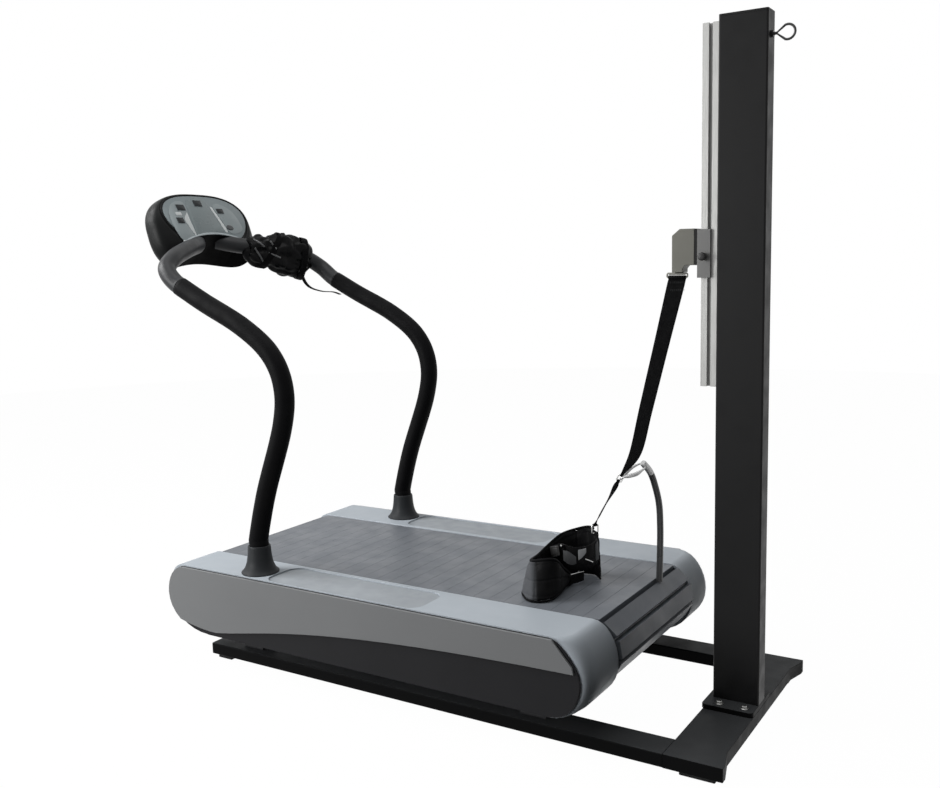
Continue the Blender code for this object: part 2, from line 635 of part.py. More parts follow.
boolean(waist_belt, ribbon("closing_strap", closing_edges, 0.004, steps=3), "UNION")

# Buckle loop through the belt's rim, and the lower tether between it and the ring
buckle_out = Vector((0.35, 0.937, 0.0)).normalized()
buckle_centre = behind(-0.2295, 0.0606, 0.1485)
buckle_flat = rounded((-0.0135, -0.0125), (0.0135, 0.0125), 0.004, 3)
buckle_path = [buckle_centre + buckle_out * u + Vector((0, 0, v)) for u, v in buckle_flat]
tube("belt_buckle", buckle_path, RING_WIRE, BRIGHT, closed=True, rings=2)
boolean(waist_belt, tube("buckle_room", buckle_path, RING_WIRE + 2 * GAP, closed=True, rings=3))
buckle_top = buckle_centre + Vector((0, 0, 0.0125))
buckle_sewn = buckle_out * 0.0075
tail_top = ring_low - ring_up * 0.0032
tail_end = buckle_top + Vector((0, 0, 0.0032))
half_twist = Vector((0.248, -0.838, -0.486))
tail_edges = []
for share, reach, first, second in ((0.0, 0.0045, 0.0, 0.0), (0.12, 0.0075, 0.1, 0.0), (0.45, 0.0080, 1.0, 0.0),
                                    (0.80, 0.0080, 1.0, 0.0), (1.0, 0.0070, 1.0, 1.0)):
    middle = tail_top.lerp(tail_end, share)
    facing = ((ring_bar * (1 - first) + half_twist * first) * (1 - second) - buckle_out * second).normalized()
    tail_edges.append((middle - facing * reach, middle + facing * reach))
tail = ribbon("tether_tail", tail_edges, STRAP_THICKNESS, WEBBING, steps=4)
boolean(tail, rod("tail_sewn_top", ring_low - sewn, ring_low + sewn, 0.0048), "UNION")
boolean(tail, rod("tail_sewn_low", buckle_top - buckle_sewn, buckle_top + buckle_sewn, 0.0048), "UNION")
boolean(tail, rod("tail_room_top", ring_low - sewn * 2, ring_low + sewn * 2, RING_WIRE + GAP))
boolean(tail, rod("tail_room_low", buckle_top - buckle_sewn * 1.6, buckle_top + buckle_sewn * 1.6,
                  RING_WIRE + GAP))

# Curved guide rod that stands on the deck, and the snap hook between its tip and the ring
rod_route = [(-0.044, 0.122, -0.0067), (-0.042, 0.122, 0.091), (-0.041, 0.120, 0.167), (-0.041, 0.110, 0.238),
             (-0.047, 0.090, 0.301), (-0.054, 0.070, 0.342), (-0.066, 0.044, 0.373)]
guide = tube("guide_rod", smooth_path([behind(*spot) for spot in rod_route], 3, start=(0, 0, 1)), 0.010,
             GRIP_FOAM, rings=3)
hook_far = behind(-0.063, 0.050, 0.366)
hook_near = ring_centre + Vector((0.0009, 0.0, -0.0028))
hook_long = (hook_far - hook_near).normalized()
hook_side = (Vector((0, 1, 0)) - hook_long * hook_long.y).normalized()
hook_reach = (hook_far - hook_near).length / 2
hook_mid = (hook_far + hook_near) / 2
hook_over = hook_long.cross(hook_side)
hook_flat = []
corners = rounded((-hook_reach, -0.0145), (hook_reach, 0.0145), 0.0144, 4)
for (u0, v0), (u1, v1) in zip(corners, corners[1:] + corners[:1]):
    steps = 4 if abs(u1 - u0) > 0.010 else 1
    hook_flat += [(u0 + (u1 - u0) * k / steps, v0 + (v1 - v0) * k / steps) for k in range(steps)]
hook_path = []
for u, v in hook_flat:
    share = (u + hook_reach) / (2 * hook_reach)
    twist = math.radians(np.interp(share, (0.0, 0.15, 0.6, 1.0), (0.0, 8.0, 68.0, 45.0)))
    hook_path.append(hook_mid + hook_long * u + (hook_side * math.cos(twist) + hook_over * math.sin(twist)) * v)
tube("snap_hook", hook_path, HOOK_WIRE, BRIGHT, closed=True, rings=2)
boolean(guide, tube("hook_room", hook_path, HOOK_WIRE + GAP, closed=True, rings=3))

# Chassis sides with their feet and handrail sockets, and the bores for the bearings
cross_top = BED_TOP - 0.0317 - GAP
chassis_left = BODY_FRONT + 0.198
chassis_right = BODY_REAR - 0.139
foot_xs = (BODY_FRONT + 0.268, BODY_REAR - 0.226)
chassis_outline = (arc(FRONT_AXLE, AXLE_Z, FRONT_LOBE, FRONT_LOBE, 90, 270, 12)
                   + [(chassis_left, AXLE_Z - FRONT_LOBE), (chassis_left, CHASSIS_BOTTOM),
                      (chassis_right, CHASSIS_BOTTOM), (chassis_right, AXLE_Z - REAR_LOBE)]
                   + arc(REAR_AXLE, AXLE_Z, REAR_LOBE, REAR_LOBE, -90, 90, 12)
                   + [(chassis_right, AXLE_Z + REAR_LOBE), (chassis_right, CHASSIS_TOP),
                      (chassis_left, CHASSIS_TOP), (chassis_left, AXLE_Z + FRONT_LOBE)])
for word, side in SIDES:
    y0, y1 = between(side, CHASSIS_INNER, CHASSIS_OUTER)
    beam = plate("chassis_side_" + word, [chassis_outline], "Y", y0, y1, CAST)
    for i, x in enumerate(foot_xs):
        foot = side_box("foot_" + str(i) + word, side, (x - 0.040, x + 0.040),
                        (CHASSIS_INNER + 0.010, CHASSIS_INNER + 0.070), (FRAME_TOP + GAP, CHASSIS_BOTTOM + 0.020))
        boolean(beam, foot, "UNION")
    socket = side_box("socket_" + word, side, (HANDRAIL_X - 0.045, HANDRAIL_X + 0.045),
                      (CHASSIS_OUTER - 0.005, HANDRAIL_Y + 0.045), (CHASSIS_TOP - 0.088, CHASSIS_TOP - 0.0005))
    boolean(beam, socket, "UNION")
    foot_y = side * HANDRAIL_Y
    boolean(beam, rod("socket_bore_" + word, (HANDRAIL_X, foot_y, CHASSIS_TOP - 0.083),
                      (HANDRAIL_X, foot_y, CHASSIS_TOP + 0.050), HANDRAIL_RADIUS + 3 * GAP, sides=24))
    for x, end in ((FRONT_AXLE, "front"), (REAR_AXLE, "rear")):
        reach = side * (CHASSIS_OUTER + 0.01)
        boolean(beam, rod("bearing_bore_" + end + word, (x, side * (CHASSIS_INNER - 0.01), AXLE_Z),
                          (x, reach, AXLE_Z), BEARING_RADIUS + 3 * GAP, sides=24))
        ring = [(BEARING_RADIUS, 0.014), (BEARING_RADIUS, -0.014), (AXLE_RADIUS + GAP, -0.014),
                (AXLE_RADIUS + GAP, 0.014)]
        turned("bearing_" + end + "_" + word, ring, 24, STEEL, closed=True, axis="Y",
               centre=(x, side * (CHASSIS_INNER + CHASSIS_OUTER) / 2, AXLE_Z))

for word, x in (("front", BODY_FRONT + 0.365), ("rear", BODY_REAR - 0.359)):
    box("chassis_cross_" + word, (x - CROSS_LENGTH / 2, -CHASSIS_INNER + GAP, CROSS_BOTTOM),
        (x + CROSS_LENGTH / 2, CHASSIS_INNER - GAP, cross_top), CAST, 0.002)
for word, side in SIDES:
    side_box("bed_rail_" + word, side, (FRONT_AXLE + 0.095, REAR_AXLE - 0.095), (0.200, 0.240),
             (cross_top + GAP, BED_TOP), CAST, 0.002)

# Drums on their axles, with the brake rotor and the brake unit at the front axle
drum_half = BELT_WIDTH / 2 - 0.002
hub = drum_half - 0.020
for word, x, far_end in (("front", FRONT_AXLE, CHASSIS_OUTER + 0.025), ("rear", REAR_AXLE, CHASSIS_OUTER + 0.002)):
    near_end = CHASSIS_OUTER + 0.002
    profile = [(0.0, near_end), (AXLE_RADIUS, near_end), (AXLE_RADIUS, hub), (DRUM_RADIUS - 0.008, hub),
               (DRUM_RADIUS - 0.008, drum_half), (DRUM_RADIUS, drum_half), (DRUM_RADIUS, -drum_half),
               (DRUM_RADIUS - 0.008, -drum_half), (DRUM_RADIUS - 0.008, -hub), (AXLE_RADIUS, -hub),
               (AXLE_RADIUS, -far_end), (0.0, -far_end)]
    turned(word + "_drum", profile, 24, CAST, axis="Y", centre=(x, 0, AXLE_Z))
rotor_y = CHASSIS_OUTER + 0.012
turned("brake_rotor", [(0.060, 0.004), (0.060, -0.004), (AXLE_RADIUS + GAP, -0.004), (AXLE_RADIUS + GAP, 0.004)],
       32, STEEL, closed=True, axis="Y", centre=(FRONT_AXLE, rotor_y, AXLE_Z))
unit = box("brake_unit", (FRONT_AXLE + 0.030, CHASSIS_OUTER + GAP, AXLE_Z - 0.022),
           (FRONT_AXLE + 0.085, CHASSIS_OUTER + 0.030, AXLE_Z + 0.022), CAST, 0.002)
boolean(unit, rod("rotor_room", (FRONT_AXLE, rotor_y - 0.006, AXLE_Z), (FRONT_AXLE, rotor_y + 0.006, AXLE_Z),
                  0.063, sides=32))

# Slat belt: one endless outline whose slats stay flat and fan open round the drums
straight = REAR_AXLE - FRONT_AXLE
loop_length = 2 * straight + 2 * math.pi * PITCH_RADIUS
slat_count = round(loop_length / SLAT_PITCH)
pitch = loop_length / slat_count


def loop_frame(s):
    """Point, direction of travel and outward normal at a distance along the pitch line."""
    s = s % loop_length
    half_turn = math.pi * PITCH_RADIUS
    if s < straight:
        return (FRONT_AXLE + s, AXLE_Z + PITCH_RADIUS), (1.0, 0.0), (0.0, 1.0)
    if s < straight + half_turn:
        t = math.pi / 2 - (s - straight) / PITCH_RADIUS
        centre = REAR_AXLE
    elif s < 2 * straight + half_turn:
        return (REAR_AXLE - (s - straight - half_turn), AXLE_Z - PITCH_RADIUS), (-1.0, 0.0), (0.0, -1.0)
    else:
        t = -math.pi / 2 - (s - 2 * straight - half_turn) / PITCH_RADIUS
        centre = FRONT_AXLE
    normal = (math.cos(t), math.sin(t))
    return ((centre + PITCH_RADIUS * normal[0], AXLE_Z + PITCH_RADIUS * normal[1]),
            (normal[1], -normal[0]), normal)


def off_loop(s, along, out):
    (x, z), travel, normal = loop_frame(s)
    return (x + travel[0] * along + normal[0] * out, z + travel[1] * along + normal[1] * out)


first_seam = straight + 0.025
slat_half = pitch / 2 - SLAT_GROOVE / 2
belt_outline = []
for i in range(slat_count):
    middle = first_seam + (i + 0.5) * pitch
    belt_outline += [off_loop(middle, -slat_half, 0.0), off_loop(middle, -slat_half, SLAT_THICKNESS),
                     off_loop(middle, slat_half, SLAT_THICKNESS), off_loop(middle, slat_half, 0.0)]
inner_radius = PITCH_RADIUS - CARRIER_THICKNESS
carrier_inner = (arc(REAR_AXLE, AXLE_Z, inner_radius, inner_radius, -90, 90, 20)
                 + arc(FRONT_AXLE, AXLE_Z, inner_radius, inner_radius, 90, 270, 20))
plate("slat_belt", [belt_outline, carrier_inner], "Y", -BELT_WIDTH / 2, BELT_WIDTH / 2, BELT_GREY)

# Covers, foot strips and the two layers of side panel
recess_x = (BODY_FRONT + 0.415, BODY_REAR - 0.544)
recess_y = (COVER_INNER + 0.016, COVER_OUTER - 0.003)
tail_end = BODY_REAR - TAIL_LOWER_LENGTH
nose_end = BODY_FRONT + NOSE_LOWER_LENGTH + 0.020
sweep_rear = (BODY_REAR - 0.045, BODY_UNDERSIDE + 0.136)
sweep_low = (BODY_FRONT + 0.215, BODY_UNDERSIDE + 0.019)
over_nose = body_path(0.004, tail_end, nose_end)[18:31]
sweep_edge = (bezier(sweep_rear, (BODY_FRONT + 0.620, BODY_UNDERSIDE + 0.125),
                     (BODY_FRONT + 0.395, BODY_UNDERSIDE + 0.040), sweep_low, 18)
              + bezier(sweep_low, (BODY_FRONT + 0.175, BODY_UNDERSIDE + 0.0175),
                       (BODY_FRONT + 0.100, BODY_UNDERSIDE + 0.0265), over_nose[-1], 8)[1:])
panel_rear = [(BODY_REAR - 0.050, DECK_TOP - 0.068), (BODY_REAR - 0.108, DECK_TOP - 0.004)]
for word, side in SIDES:
    cover = rounded_shell("side_cover_" + word, side, SILVER)
    r0, r1 = between(side, *recess_y)
    pocket = plate("recess_" + word, [rounded((recess_x[0], r0), (recess_x[1], r1), 0.045, 8)],
                   "Z", DECK_TOP - 0.006, DECK_TOP + 0.020)
    boolean(cover, pocket)
    boolean(cover, rod("rail_hole_" + word, (HANDRAIL_X, side * HANDRAIL_Y, DECK_TOP - 0.030),
                       (HANDRAIL_X, side * HANDRAIL_Y, DECK_TOP + 0.030), HANDRAIL_RADIUS + 3 * GAP, sides=24))
    plate("foot_strip_" + word,
          [rounded((recess_x[0] + 0.0006, r0 + 0.0006), (recess_x[1] - 0.0006, r1 - 0.0006), 0.0445, 8)],
          "Z", DECK_TOP - 0.006 + GAP, DECK_TOP - 0.004 + GAP, STRIP_GREY)
    y0, y1 = between(side, PANEL_INNER, PANEL_INNER + PANEL_THICKNESS)
    plate("lower_panel_" + word, [body_path(0.003, tail_end, nose_end, tuck=1.0)], "Y", y0, y1, LOWER_PANEL, 0.002)
    y0, y1 = between(side, HALF_WIDTH - PANEL_THICKNESS, HALF_WIDTH)
    swoosh = panel_rear + over_nose[:-1] + sweep_edge[::-1]
    plate("side_panel_" + word, [swoosh], "Y", y0, y1, GREY_PANEL, 0.002)

# Handrails from their sockets, flared boots, and the bare arms up to the console
rail_shape = [(0.0, 0.0), (0.0, 0.093), (0.001, 0.117), (0.043, 0.265), (0.123, 0.480), (0.134, 0.605), (0.085, 0.705),
              (-0.025, 0.785), (-0.185, 0.860), (-0.285, 0.910)]
rail_lean = Vector((-0.894, 0.0, 0.447)).normalized()
console_centre = Vector((0, 0, CONSOLE_HEIGHT))
conjugate = CONSOLE_EXPONENT / (CONSOLE_EXPONENT - 1)
console_centre.x = CONSOLE_FRONT + ((CONSOLE_HALF[1] * math.sin(CONSOLE_TILT)) ** conjugate
                                    + (CONSOLE_HALF[2] * math.cos(CONSOLE_TILT)) ** conjugate) ** (1 / conjugate)
arm_rooms = []
for word, side in SIDES:
    y = side * HANDRAIL_Y
    shape = [(HANDRAIL_X + x, y, DECK_TOP + z) for x, z in rail_shape]
    top = Vector(shape[-1])
    route = [(HANDRAIL_X, y, CHASSIS_TOP - 0.083 + GAP)] + smooth_path(shape, 3, (0, 0, 1), rail_lean)[:-1]
    tube("handrail_" + word, route + [top - rail_lean * 0.008, top], HANDRAIL_RADIUS, GRIP_FOAM)
    bell = [(HANDRAIL_RADIUS + GAP, 0.088), (HANDRAIL_RADIUS + 0.003, 0.088), (HANDRAIL_RADIUS + 0.005, 0.084),
            (HANDRAIL_RADIUS + 0.007, 0.060), (HANDRAIL_RADIUS + 0.011, 0.034), (HANDRAIL_RADIUS + 0.019, 0.014),
            (HANDRAIL_RADIUS + 0.029, 0.003), (HANDRAIL_RADIUS + 0.029, 0.0), (HANDRAIL_RADIUS + GAP, 0.0)]
    turned("handrail_boot_" + word, bell, 24, BOOT_GREY, closed=True, centre=(HANDRAIL_X, y, DECK_TOP + GAP))
    arm_end = console_centre + Vector((0.021, side * 0.050, -0.025))
    reach = arm_end - top
    knees = [(0.0, 0.0, 0.0), (0.226, 0.029, 0.323), (0.348, 0.217, 0.580), (0.557, 0.565, 0.774),
             (0.774, 0.855, 0.871), (1.0, 1.0, 1.0)]
    stops = [top + rail_lean * 0.010 + Vector([r * k for r, k in zip(reach, knee)]) for knee in knees]
    stops[-1] = arm_end
    arm_route = smooth_path(stops, 4, rail_lean)
    tube("console_arm_" + word, [top + rail_lean * GAP] + arm_route, ARM_RADIUS, ARM_GREY, rings=4)
    onward = (arm_route[-1] - arm_route[-2]).normalized()
    room_route = [top + rail_lean * GAP] + arm_route + [arm_end + onward * GAP]
    arm_rooms.append(tube("arm_room_" + word, room_route, ARM_RADIUS + GAP, rings=4))

# Console pod: its user side cut flat for the face, its underside cut to a tapering arch
pod_turn = Matrix(((0, -math.sin(CONSOLE_TILT), math.cos(CONSOLE_TILT)), (1, 0, 0),
                   (0, math.cos(CONSOLE_TILT), math.sin(CONSOLE_TILT)))).to_4x4()
face_origin = Vector((CONSOLE_FRONT + FACE_SETBACK, 0.0, CONSOLE_HEIGHT - 0.003))
face_normal = Vector((math.cos(FACE_TILT), 0.0, math.sin(FACE_TILT)))
face_up = Vector((-math.sin(FACE_TILT), 0.0, math.cos(FACE_TILT)))
face_turn = Matrix(((0, face_up.x, face_normal.x), (1, 0, 0), (0, face_up.z, face_normal.z))).to_4x4()
face_frame = Matrix.Translation(face_origin) @ face_turn
arch_down = Vector((-math.cos(ARCH_SLOPE), 0.0, -math.sin(ARCH_SLOPE)))
arch_up = Vector((-math.sin(ARCH_SLOPE), 0.0, math.cos(ARCH_SLOPE)))


def arch_room(name, lift):
    """The round tunnel below the console, raised by lift."""
    middle = face_origin + arch_up * (lift - ARCH_RADIUS)
    return rod(name, middle - arch_down * 0.30, middle + arch_down * 0.45, ARCH_RADIUS, sides=128)


def on_face(name, low, high, look=None):
    """A box in the face's own frame: across, up the face and out of it."""
    obj = box(name, low, high, look)
    obj.matrix_world = face_frame @ Matrix.Translation(obj.location)
    return obj


housing = ellipsoid("console_housing", console_centre, CONSOLE_HALF, pod_turn, CONSOLE_EXPONENT, HOOD)
shade(housing)
boolean(housing, on_face("user_side", (-0.4, -0.4, 0.0), (0.4, 0.4, 0.3)))
boolean(housing, arch_room("arch", 0.0))
for room in arm_rooms:
    boolean(housing, room)



def within_face(u, v, margin):
    """Whether a point of the face lies inside the pod and above the arch, by a margin."""
    where = face_origin + face_up * v - console_centre
    local = (u, -where.x * math.sin(CONSOLE_TILT) + where.z * math.cos(CONSOLE_TILT),
             where.x * math.cos(CONSOLE_TILT) + where.z * math.sin(CONSOLE_TILT))
    swell = sum(abs(c / (h - margin)) ** CONSOLE_EXPONENT for c, h in zip(local, CONSOLE_HALF))
    rise = (face_up * v).dot(arch_up)
    arch = math.sqrt(ARCH_RADIUS ** 2 - u * u) - ARCH_RADIUS
    return swell < 1.0 and rise > arch + margin


def face_edge(margin, steps=90):
    """The face's outline, found along rays from a point inside it."""
    outline = []
    for t in np.linspace(0, 2 * math.pi, steps, endpoint=False):
        short, long = 0.0, 0.4
        for _ in range(24):
            reach = (short + long) / 2
            if within_face(reach * math.cos(t), 0.070 + reach * math.sin(t), margin):
                short = reach
            else:
                long = reach
        outline.append((short * math.cos(t), 0.070 + short * math.sin(t)))
    return outline


panel = plate("console_face", [face_edge(0.009)], "Z", GAP, 0.002 + GAP, FACE_SILVER)
panel.matrix_world = face_frame @ panel.matrix_world

# Oval stop key in the face, free to travel two millimetres into its pocket
key_spot = (0.095, 0.030)


def key_oval(name, grow, low, high, look=None):
    oval = [(key_spot[0] + u, key_spot[1] + v) for u, v in arc(0, 0, 0.017 + grow, 0.011 + grow, 0, 345, 23)]
    obj = plate(name, [oval], "Z", low, high, look)
    obj.matrix_world = face_frame @ obj.matrix_world
    return obj


bevel(key_oval("stop_key", 0.0, -0.004, 0.006, ((0.03, 0.03, 0.032), 0.35, 0.0)), 0.001)
boolean(panel, key_oval("key_hole", RUNNING, -0.010, 0.020))
boolean(housing, key_oval("key_pocket", RUNNING, -0.008, 0.020))

# Spare harness hung over the far arm: a soft bundle with a strap that loops under the handrail
hang = Vector((-0.43, -0.86, 0.265)).normalized()
up = (Vector((0, 0, 1)) - hang * hang.z).normalized()
side_way = hang.cross(up)
bundle_turn = Matrix((hang, up, side_way)).transposed().to_4x4()
far_top = Vector((HANDRAIL_X - 0.285, HANDRAIL_Y, DECK_TOP + 0.910))
far_end = console_centre + Vector((0.021, 0.050, -0.025))
bundle_centre = far_top.lerp(far_end, 0.40) + Vector((-0.015, 0.005, 0.038))
bundle = ellipsoid("hung_harness", bundle_centre, (0.115, 0.088, 0.052), bundle_turn, 2.4, WEBBING, 20)
shade(bundle)
loop = [(-0.149, -0.133, 0.186), (-0.145, -0.095, 0.140), (-0.135, -0.050, 0.075), (-0.145, -0.033, 0.017),
        (-0.122, -0.023, -0.023), (-0.067, -0.017, -0.041), (-0.012, -0.010, -0.045), (0.018, -0.006, -0.054)]
loop_points = [far_top + Vector(p) for p in loop]
loop_edges = [(p - Vector((0.0, 0.010, 0.0)), p + Vector((0.0, 0.010, 0.0))) for p in loop_points]
boolean(bundle, ribbon("harness_loop", loop_edges, 0.004, steps=3), "UNION")
far_room = tube("far_arm_room", [top + rail_lean * GAP] + arm_route, ARM_RADIUS + GAP + 0.0004, rings=4)
boolean(bundle, far_room)
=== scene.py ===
import json
from math import copysign, cos, exp, pi, radians, sin, sqrt, tan

import bmesh
import bpy
import numpy as np
from mathutils import Matrix, Vector, noise
from mathutils.bvhtree import BVHTree
from mathutils.kdtree import KDTree

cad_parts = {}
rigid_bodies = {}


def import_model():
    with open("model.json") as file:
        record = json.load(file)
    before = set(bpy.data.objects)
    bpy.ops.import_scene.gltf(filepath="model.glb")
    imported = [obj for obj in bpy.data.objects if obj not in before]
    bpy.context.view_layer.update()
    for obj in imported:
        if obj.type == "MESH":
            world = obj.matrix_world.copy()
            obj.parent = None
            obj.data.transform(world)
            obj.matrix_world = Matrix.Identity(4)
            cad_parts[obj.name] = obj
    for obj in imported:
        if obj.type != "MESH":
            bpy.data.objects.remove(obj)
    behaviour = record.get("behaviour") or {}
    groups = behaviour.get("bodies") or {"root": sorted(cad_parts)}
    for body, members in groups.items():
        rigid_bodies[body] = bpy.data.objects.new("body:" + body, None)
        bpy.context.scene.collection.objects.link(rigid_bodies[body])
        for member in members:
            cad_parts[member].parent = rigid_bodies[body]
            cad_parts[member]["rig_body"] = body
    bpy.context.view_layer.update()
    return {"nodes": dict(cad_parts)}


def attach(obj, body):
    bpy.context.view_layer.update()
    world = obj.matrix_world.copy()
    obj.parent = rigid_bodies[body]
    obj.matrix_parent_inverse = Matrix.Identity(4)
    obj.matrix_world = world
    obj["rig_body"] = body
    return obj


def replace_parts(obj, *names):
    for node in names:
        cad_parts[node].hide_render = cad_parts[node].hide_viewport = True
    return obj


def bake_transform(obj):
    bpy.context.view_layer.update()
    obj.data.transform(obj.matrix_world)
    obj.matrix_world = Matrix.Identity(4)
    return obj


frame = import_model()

nodes = frame["nodes"]
scene = bpy.context.scene
UP = Vector((0, 0, 1))


def linked(name, data):
    obj = bpy.data.objects.new(name, data)
    scene.collection.objects.link(obj)
    return obj


def angles(count):
    return np.linspace(0, 2 * pi, count, endpoint=False)


def metres(rows):
    """Rows of numbers written in millimetres, as tuples in metres."""
    return [tuple(c / 1000 for c in row) for row in rows]


# Camera at the photograph's viewpoint, for an image 940 wide and 788 high
IMAGE_WIDTH = 940
FOCAL = 1018.1
VIEWPOINT = (1.8231, -2.7195, 1.3086)
yaw, pitch, roll = (radians(angle) for angle in (32.003, -7.488, -1.327))
ahead = Vector((-sin(yaw) * cos(pitch), cos(yaw) * cos(pitch), sin(pitch)))
level = Vector((cos(yaw), sin(yaw), 0))
above = level.cross(ahead)
across = level * cos(roll) + above * sin(roll)
upward = above * cos(roll) - level * sin(roll)
camera = linked("camera", bpy.data.cameras.new("camera"))
camera.data.sensor_fit = "HORIZONTAL"
camera.data.lens = FOCAL / IMAGE_WIDTH * camera.data.sensor_width
camera.data.clip_end = 100
turn = Matrix((across, upward, -ahead)).transposed().to_4x4()
camera.matrix_world = Matrix.Translation(VIEWPOINT) @ turn
scene.camera = camera
scene.view_settings.view_transform = "Standard"


def add(tree, kind, settings=None, slots=None, **inputs):
    """A new shader node, its inputs given by place in slots or by name, with _ for a space."""
    node = tree.nodes.new("ShaderNode" + kind)
    for key, value in (settings or {}).items():
        setattr(node, key, value)
    named = {key.replace("_", " "): value for key, value in inputs.items()}
    for key, value in {**(slots or {}), **named}.items():
        if isinstance(value, bpy.types.NodeSocket):
            tree.links.new(value, node.inputs[key])
        else:
            node.inputs[key].default_value = value
    return node


def seen_directly(tree):
    """One where a camera, glossy or transmission ray looks, zero for soft light."""
    path = add(tree, "LightPath").outputs
    most = path["Is Camera Ray"]
    for ray in ("Is Glossy Ray", "Is Transmission Ray"):
        most = add(tree, "Math", {"operation": "MAXIMUM"}, {0: most, 1: path[ray]}).outputs[0]
    return most


# World: a white surround where it is seen, and an even soft fill
SOFT_FILL = 0.03
world = bpy.data.worlds.new("studio")
scene.world = world
world.use_nodes = True
sky = world.node_tree
background = sky.nodes["Background"].inputs
background["Color"].default_value = (1, 1, 1, 1)
strength = add(sky, "MapRange", Value=seen_directly(sky), To_Min=SOFT_FILL, To_Max=1)
sky.links.new(strength.outputs[0], background["Strength"])

# Floor: pale, keeping part of the object's soft shadow
FLOOR_RADIUS = 9
FLOOR_DROP = 0.0006
FLOOR_GREY = 0.06
FLOOR_GLOW = 1.235
GLOW_SHARE = 0.8
floor_mesh = bpy.data.meshes.new("floor")
floor_mesh.from_pydata([(FLOOR_RADIUS * cos(t), FLOOR_RADIUS * sin(t), -FLOOR_DROP) for t in angles(96)],
                       [], [tuple(range(96))])
floor = linked("floor", floor_mesh)
pale = bpy.data.materials.new("pale_floor")
pale.use_nodes = True
tree = pale.node_tree
tree.nodes.remove(tree.nodes["Principled BSDF"])
matte = add(tree, "BsdfDiffuse", Color=(FLOOR_GREY, FLOOR_GREY, FLOOR_GREY, 1))
glow = add(tree, "Emission", Color=(1, 1, 1, 1), Strength=FLOOR_GLOW)
share = add(tree, "Math", {"operation": "MULTIPLY"}, {0: seen_directly(tree), 1: GLOW_SHARE})
mixed = add(tree, "MixShader", None, {0: share.outputs[0], 1: matte.outputs[0], 2: glow.outputs[0]})
tree.links.new(mixed.outputs[0], tree.nodes["Material Output"].inputs["Surface"])
floor_mesh.materials.append(pale)

# Lamps: place, target, size and power
for name, where, target, size, power in (
        ("key", (-3.2, -1.8, 3.2), (-0.3, 0, 0.4), (2.2, 2.2), 175),
        ("top", (0.3, -0.5, 4.2), (0.1, 0, 0.3), (3, 3), 64),
        ("fill", (-3, -4.6, 1.7), (0, 0, 0.5), (3, 2), 185)):
    data = bpy.data.lights.new(name, "AREA")
    data.shape = "RECTANGLE"
    data.size, data.size_y = size
    data.energy = power
    aim = Vector(target) - Vector(where)
    linked(name, data).matrix_world = Matrix.Translation(where) @ aim.to_track_quat("-Z", "Y").to_matrix().to_4x4()


# Materials: colours are linear, distances are metres
class Finish:
    """A Principled material that gains layers of grain, wear and bump."""

    def __init__(self, name, colour, rough, metal=0, specular=0.5):
        self.slot = name
        self.material = bpy.data.materials.new(name)
        self.material.use_nodes = True
        self.tree = self.material.node_tree
        self.inputs = self.tree.nodes["Principled BSDF"].inputs
        self.colour = (*colour, 1)
        for key, value in (("Base Color", self.colour), ("Roughness", rough), ("Metallic", metal),
                           ("Specular IOR Level", specular)):
            self.inputs[key].default_value = value
        self.coords = add(self.tree, "TexCoord").outputs

    def noise(self, scale, detail=3, stretch=(1, 1, 1)):
        spot = add(self.tree, "Mapping", Vector=self.coords["Object"], Scale=stretch).outputs[0]
        return add(self.tree, "TexNoise", Vector=spot, Scale=scale, Detail=detail).outputs["Fac"]

    def wave(self, scale, direction):
        """Fine parallel ribs of woven cloth, laid out by its weave coordinates."""
        ribs = add(self.tree, "TexWave", {"bands_direction": direction}, Vector=self.coords["UV"],
                   Scale=scale)
        return ribs.outputs["Fac"]

    def span(self, factor, low, high, to_low=0, to_high=1):
        return add(self.tree, "MapRange", Value=factor, From_Min=low, From_Max=high, To_Min=to_low,
                   To_Max=to_high).outputs["Result"]

    def tint(self, factor, colour, low=0.35, high=0.65):
        """Blend another colour in where the factor is high."""
        base = self.inputs["Base Color"]
        under = base.links[0].from_socket if base.is_linked else self.colour
        blend = add(self.tree, "Mix", {"data_type": "RGBA"},
                    {0: self.span(factor, low, high), 6: under, 7: (*colour, 1)})
        self.tree.links.new(blend.outputs[2], base)
        return self

    def mottle(self, factor, amount):
        return self.tint(factor, [c * (1 - amount) for c in self.colour[:3]], 0.3, 0.7)

    def polish(self, factor, low, high):
        self.tree.links.new(self.span(factor, 0.35, 0.65, low, high), self.inputs["Roughness"])
        return self

    def bump(self, factor, depth):
        made = add(self.tree, "Bump", Height=factor, Distance=depth, Strength=1)
        normal = self.inputs["Normal"]
        if normal.is_linked:
            self.tree.links.new(normal.links[0].from_socket, made.inputs["Normal"])
        self.tree.links.new(made.outputs[0], normal)
        return self

    def reach(self, direction):
        """How far along a direction a spot of the resting shape lies."""
        return add(self.tree, "VectorMath", {"operation": "DOT_PRODUCT"},
                   {0: self.coords["Object"], 1: direction}).outputs["Value"]

    def upward(self):
        """One on faces that look straight up."""
        normal = add(self.tree, "NewGeometry").outputs["Normal"]
        return add(self.tree, "SeparateXYZ", Vector=normal).outputs["Z"]

    def of(self, slot):
        """The record's slot this finish belongs to, where it isn't its own name."""
        self.slot = slot
        return self


def moulded(name, colour, rough, specular, grain=900, depth=0.00006):
    made = Finish(name, colour, rough, 0, specular)
    made.mottle(made.noise(6), 0.12)
    made.polish(made.noise(24), rough - 0.06, rough + 0.08)
    return made.bump(made.noise(grain, 2), depth)


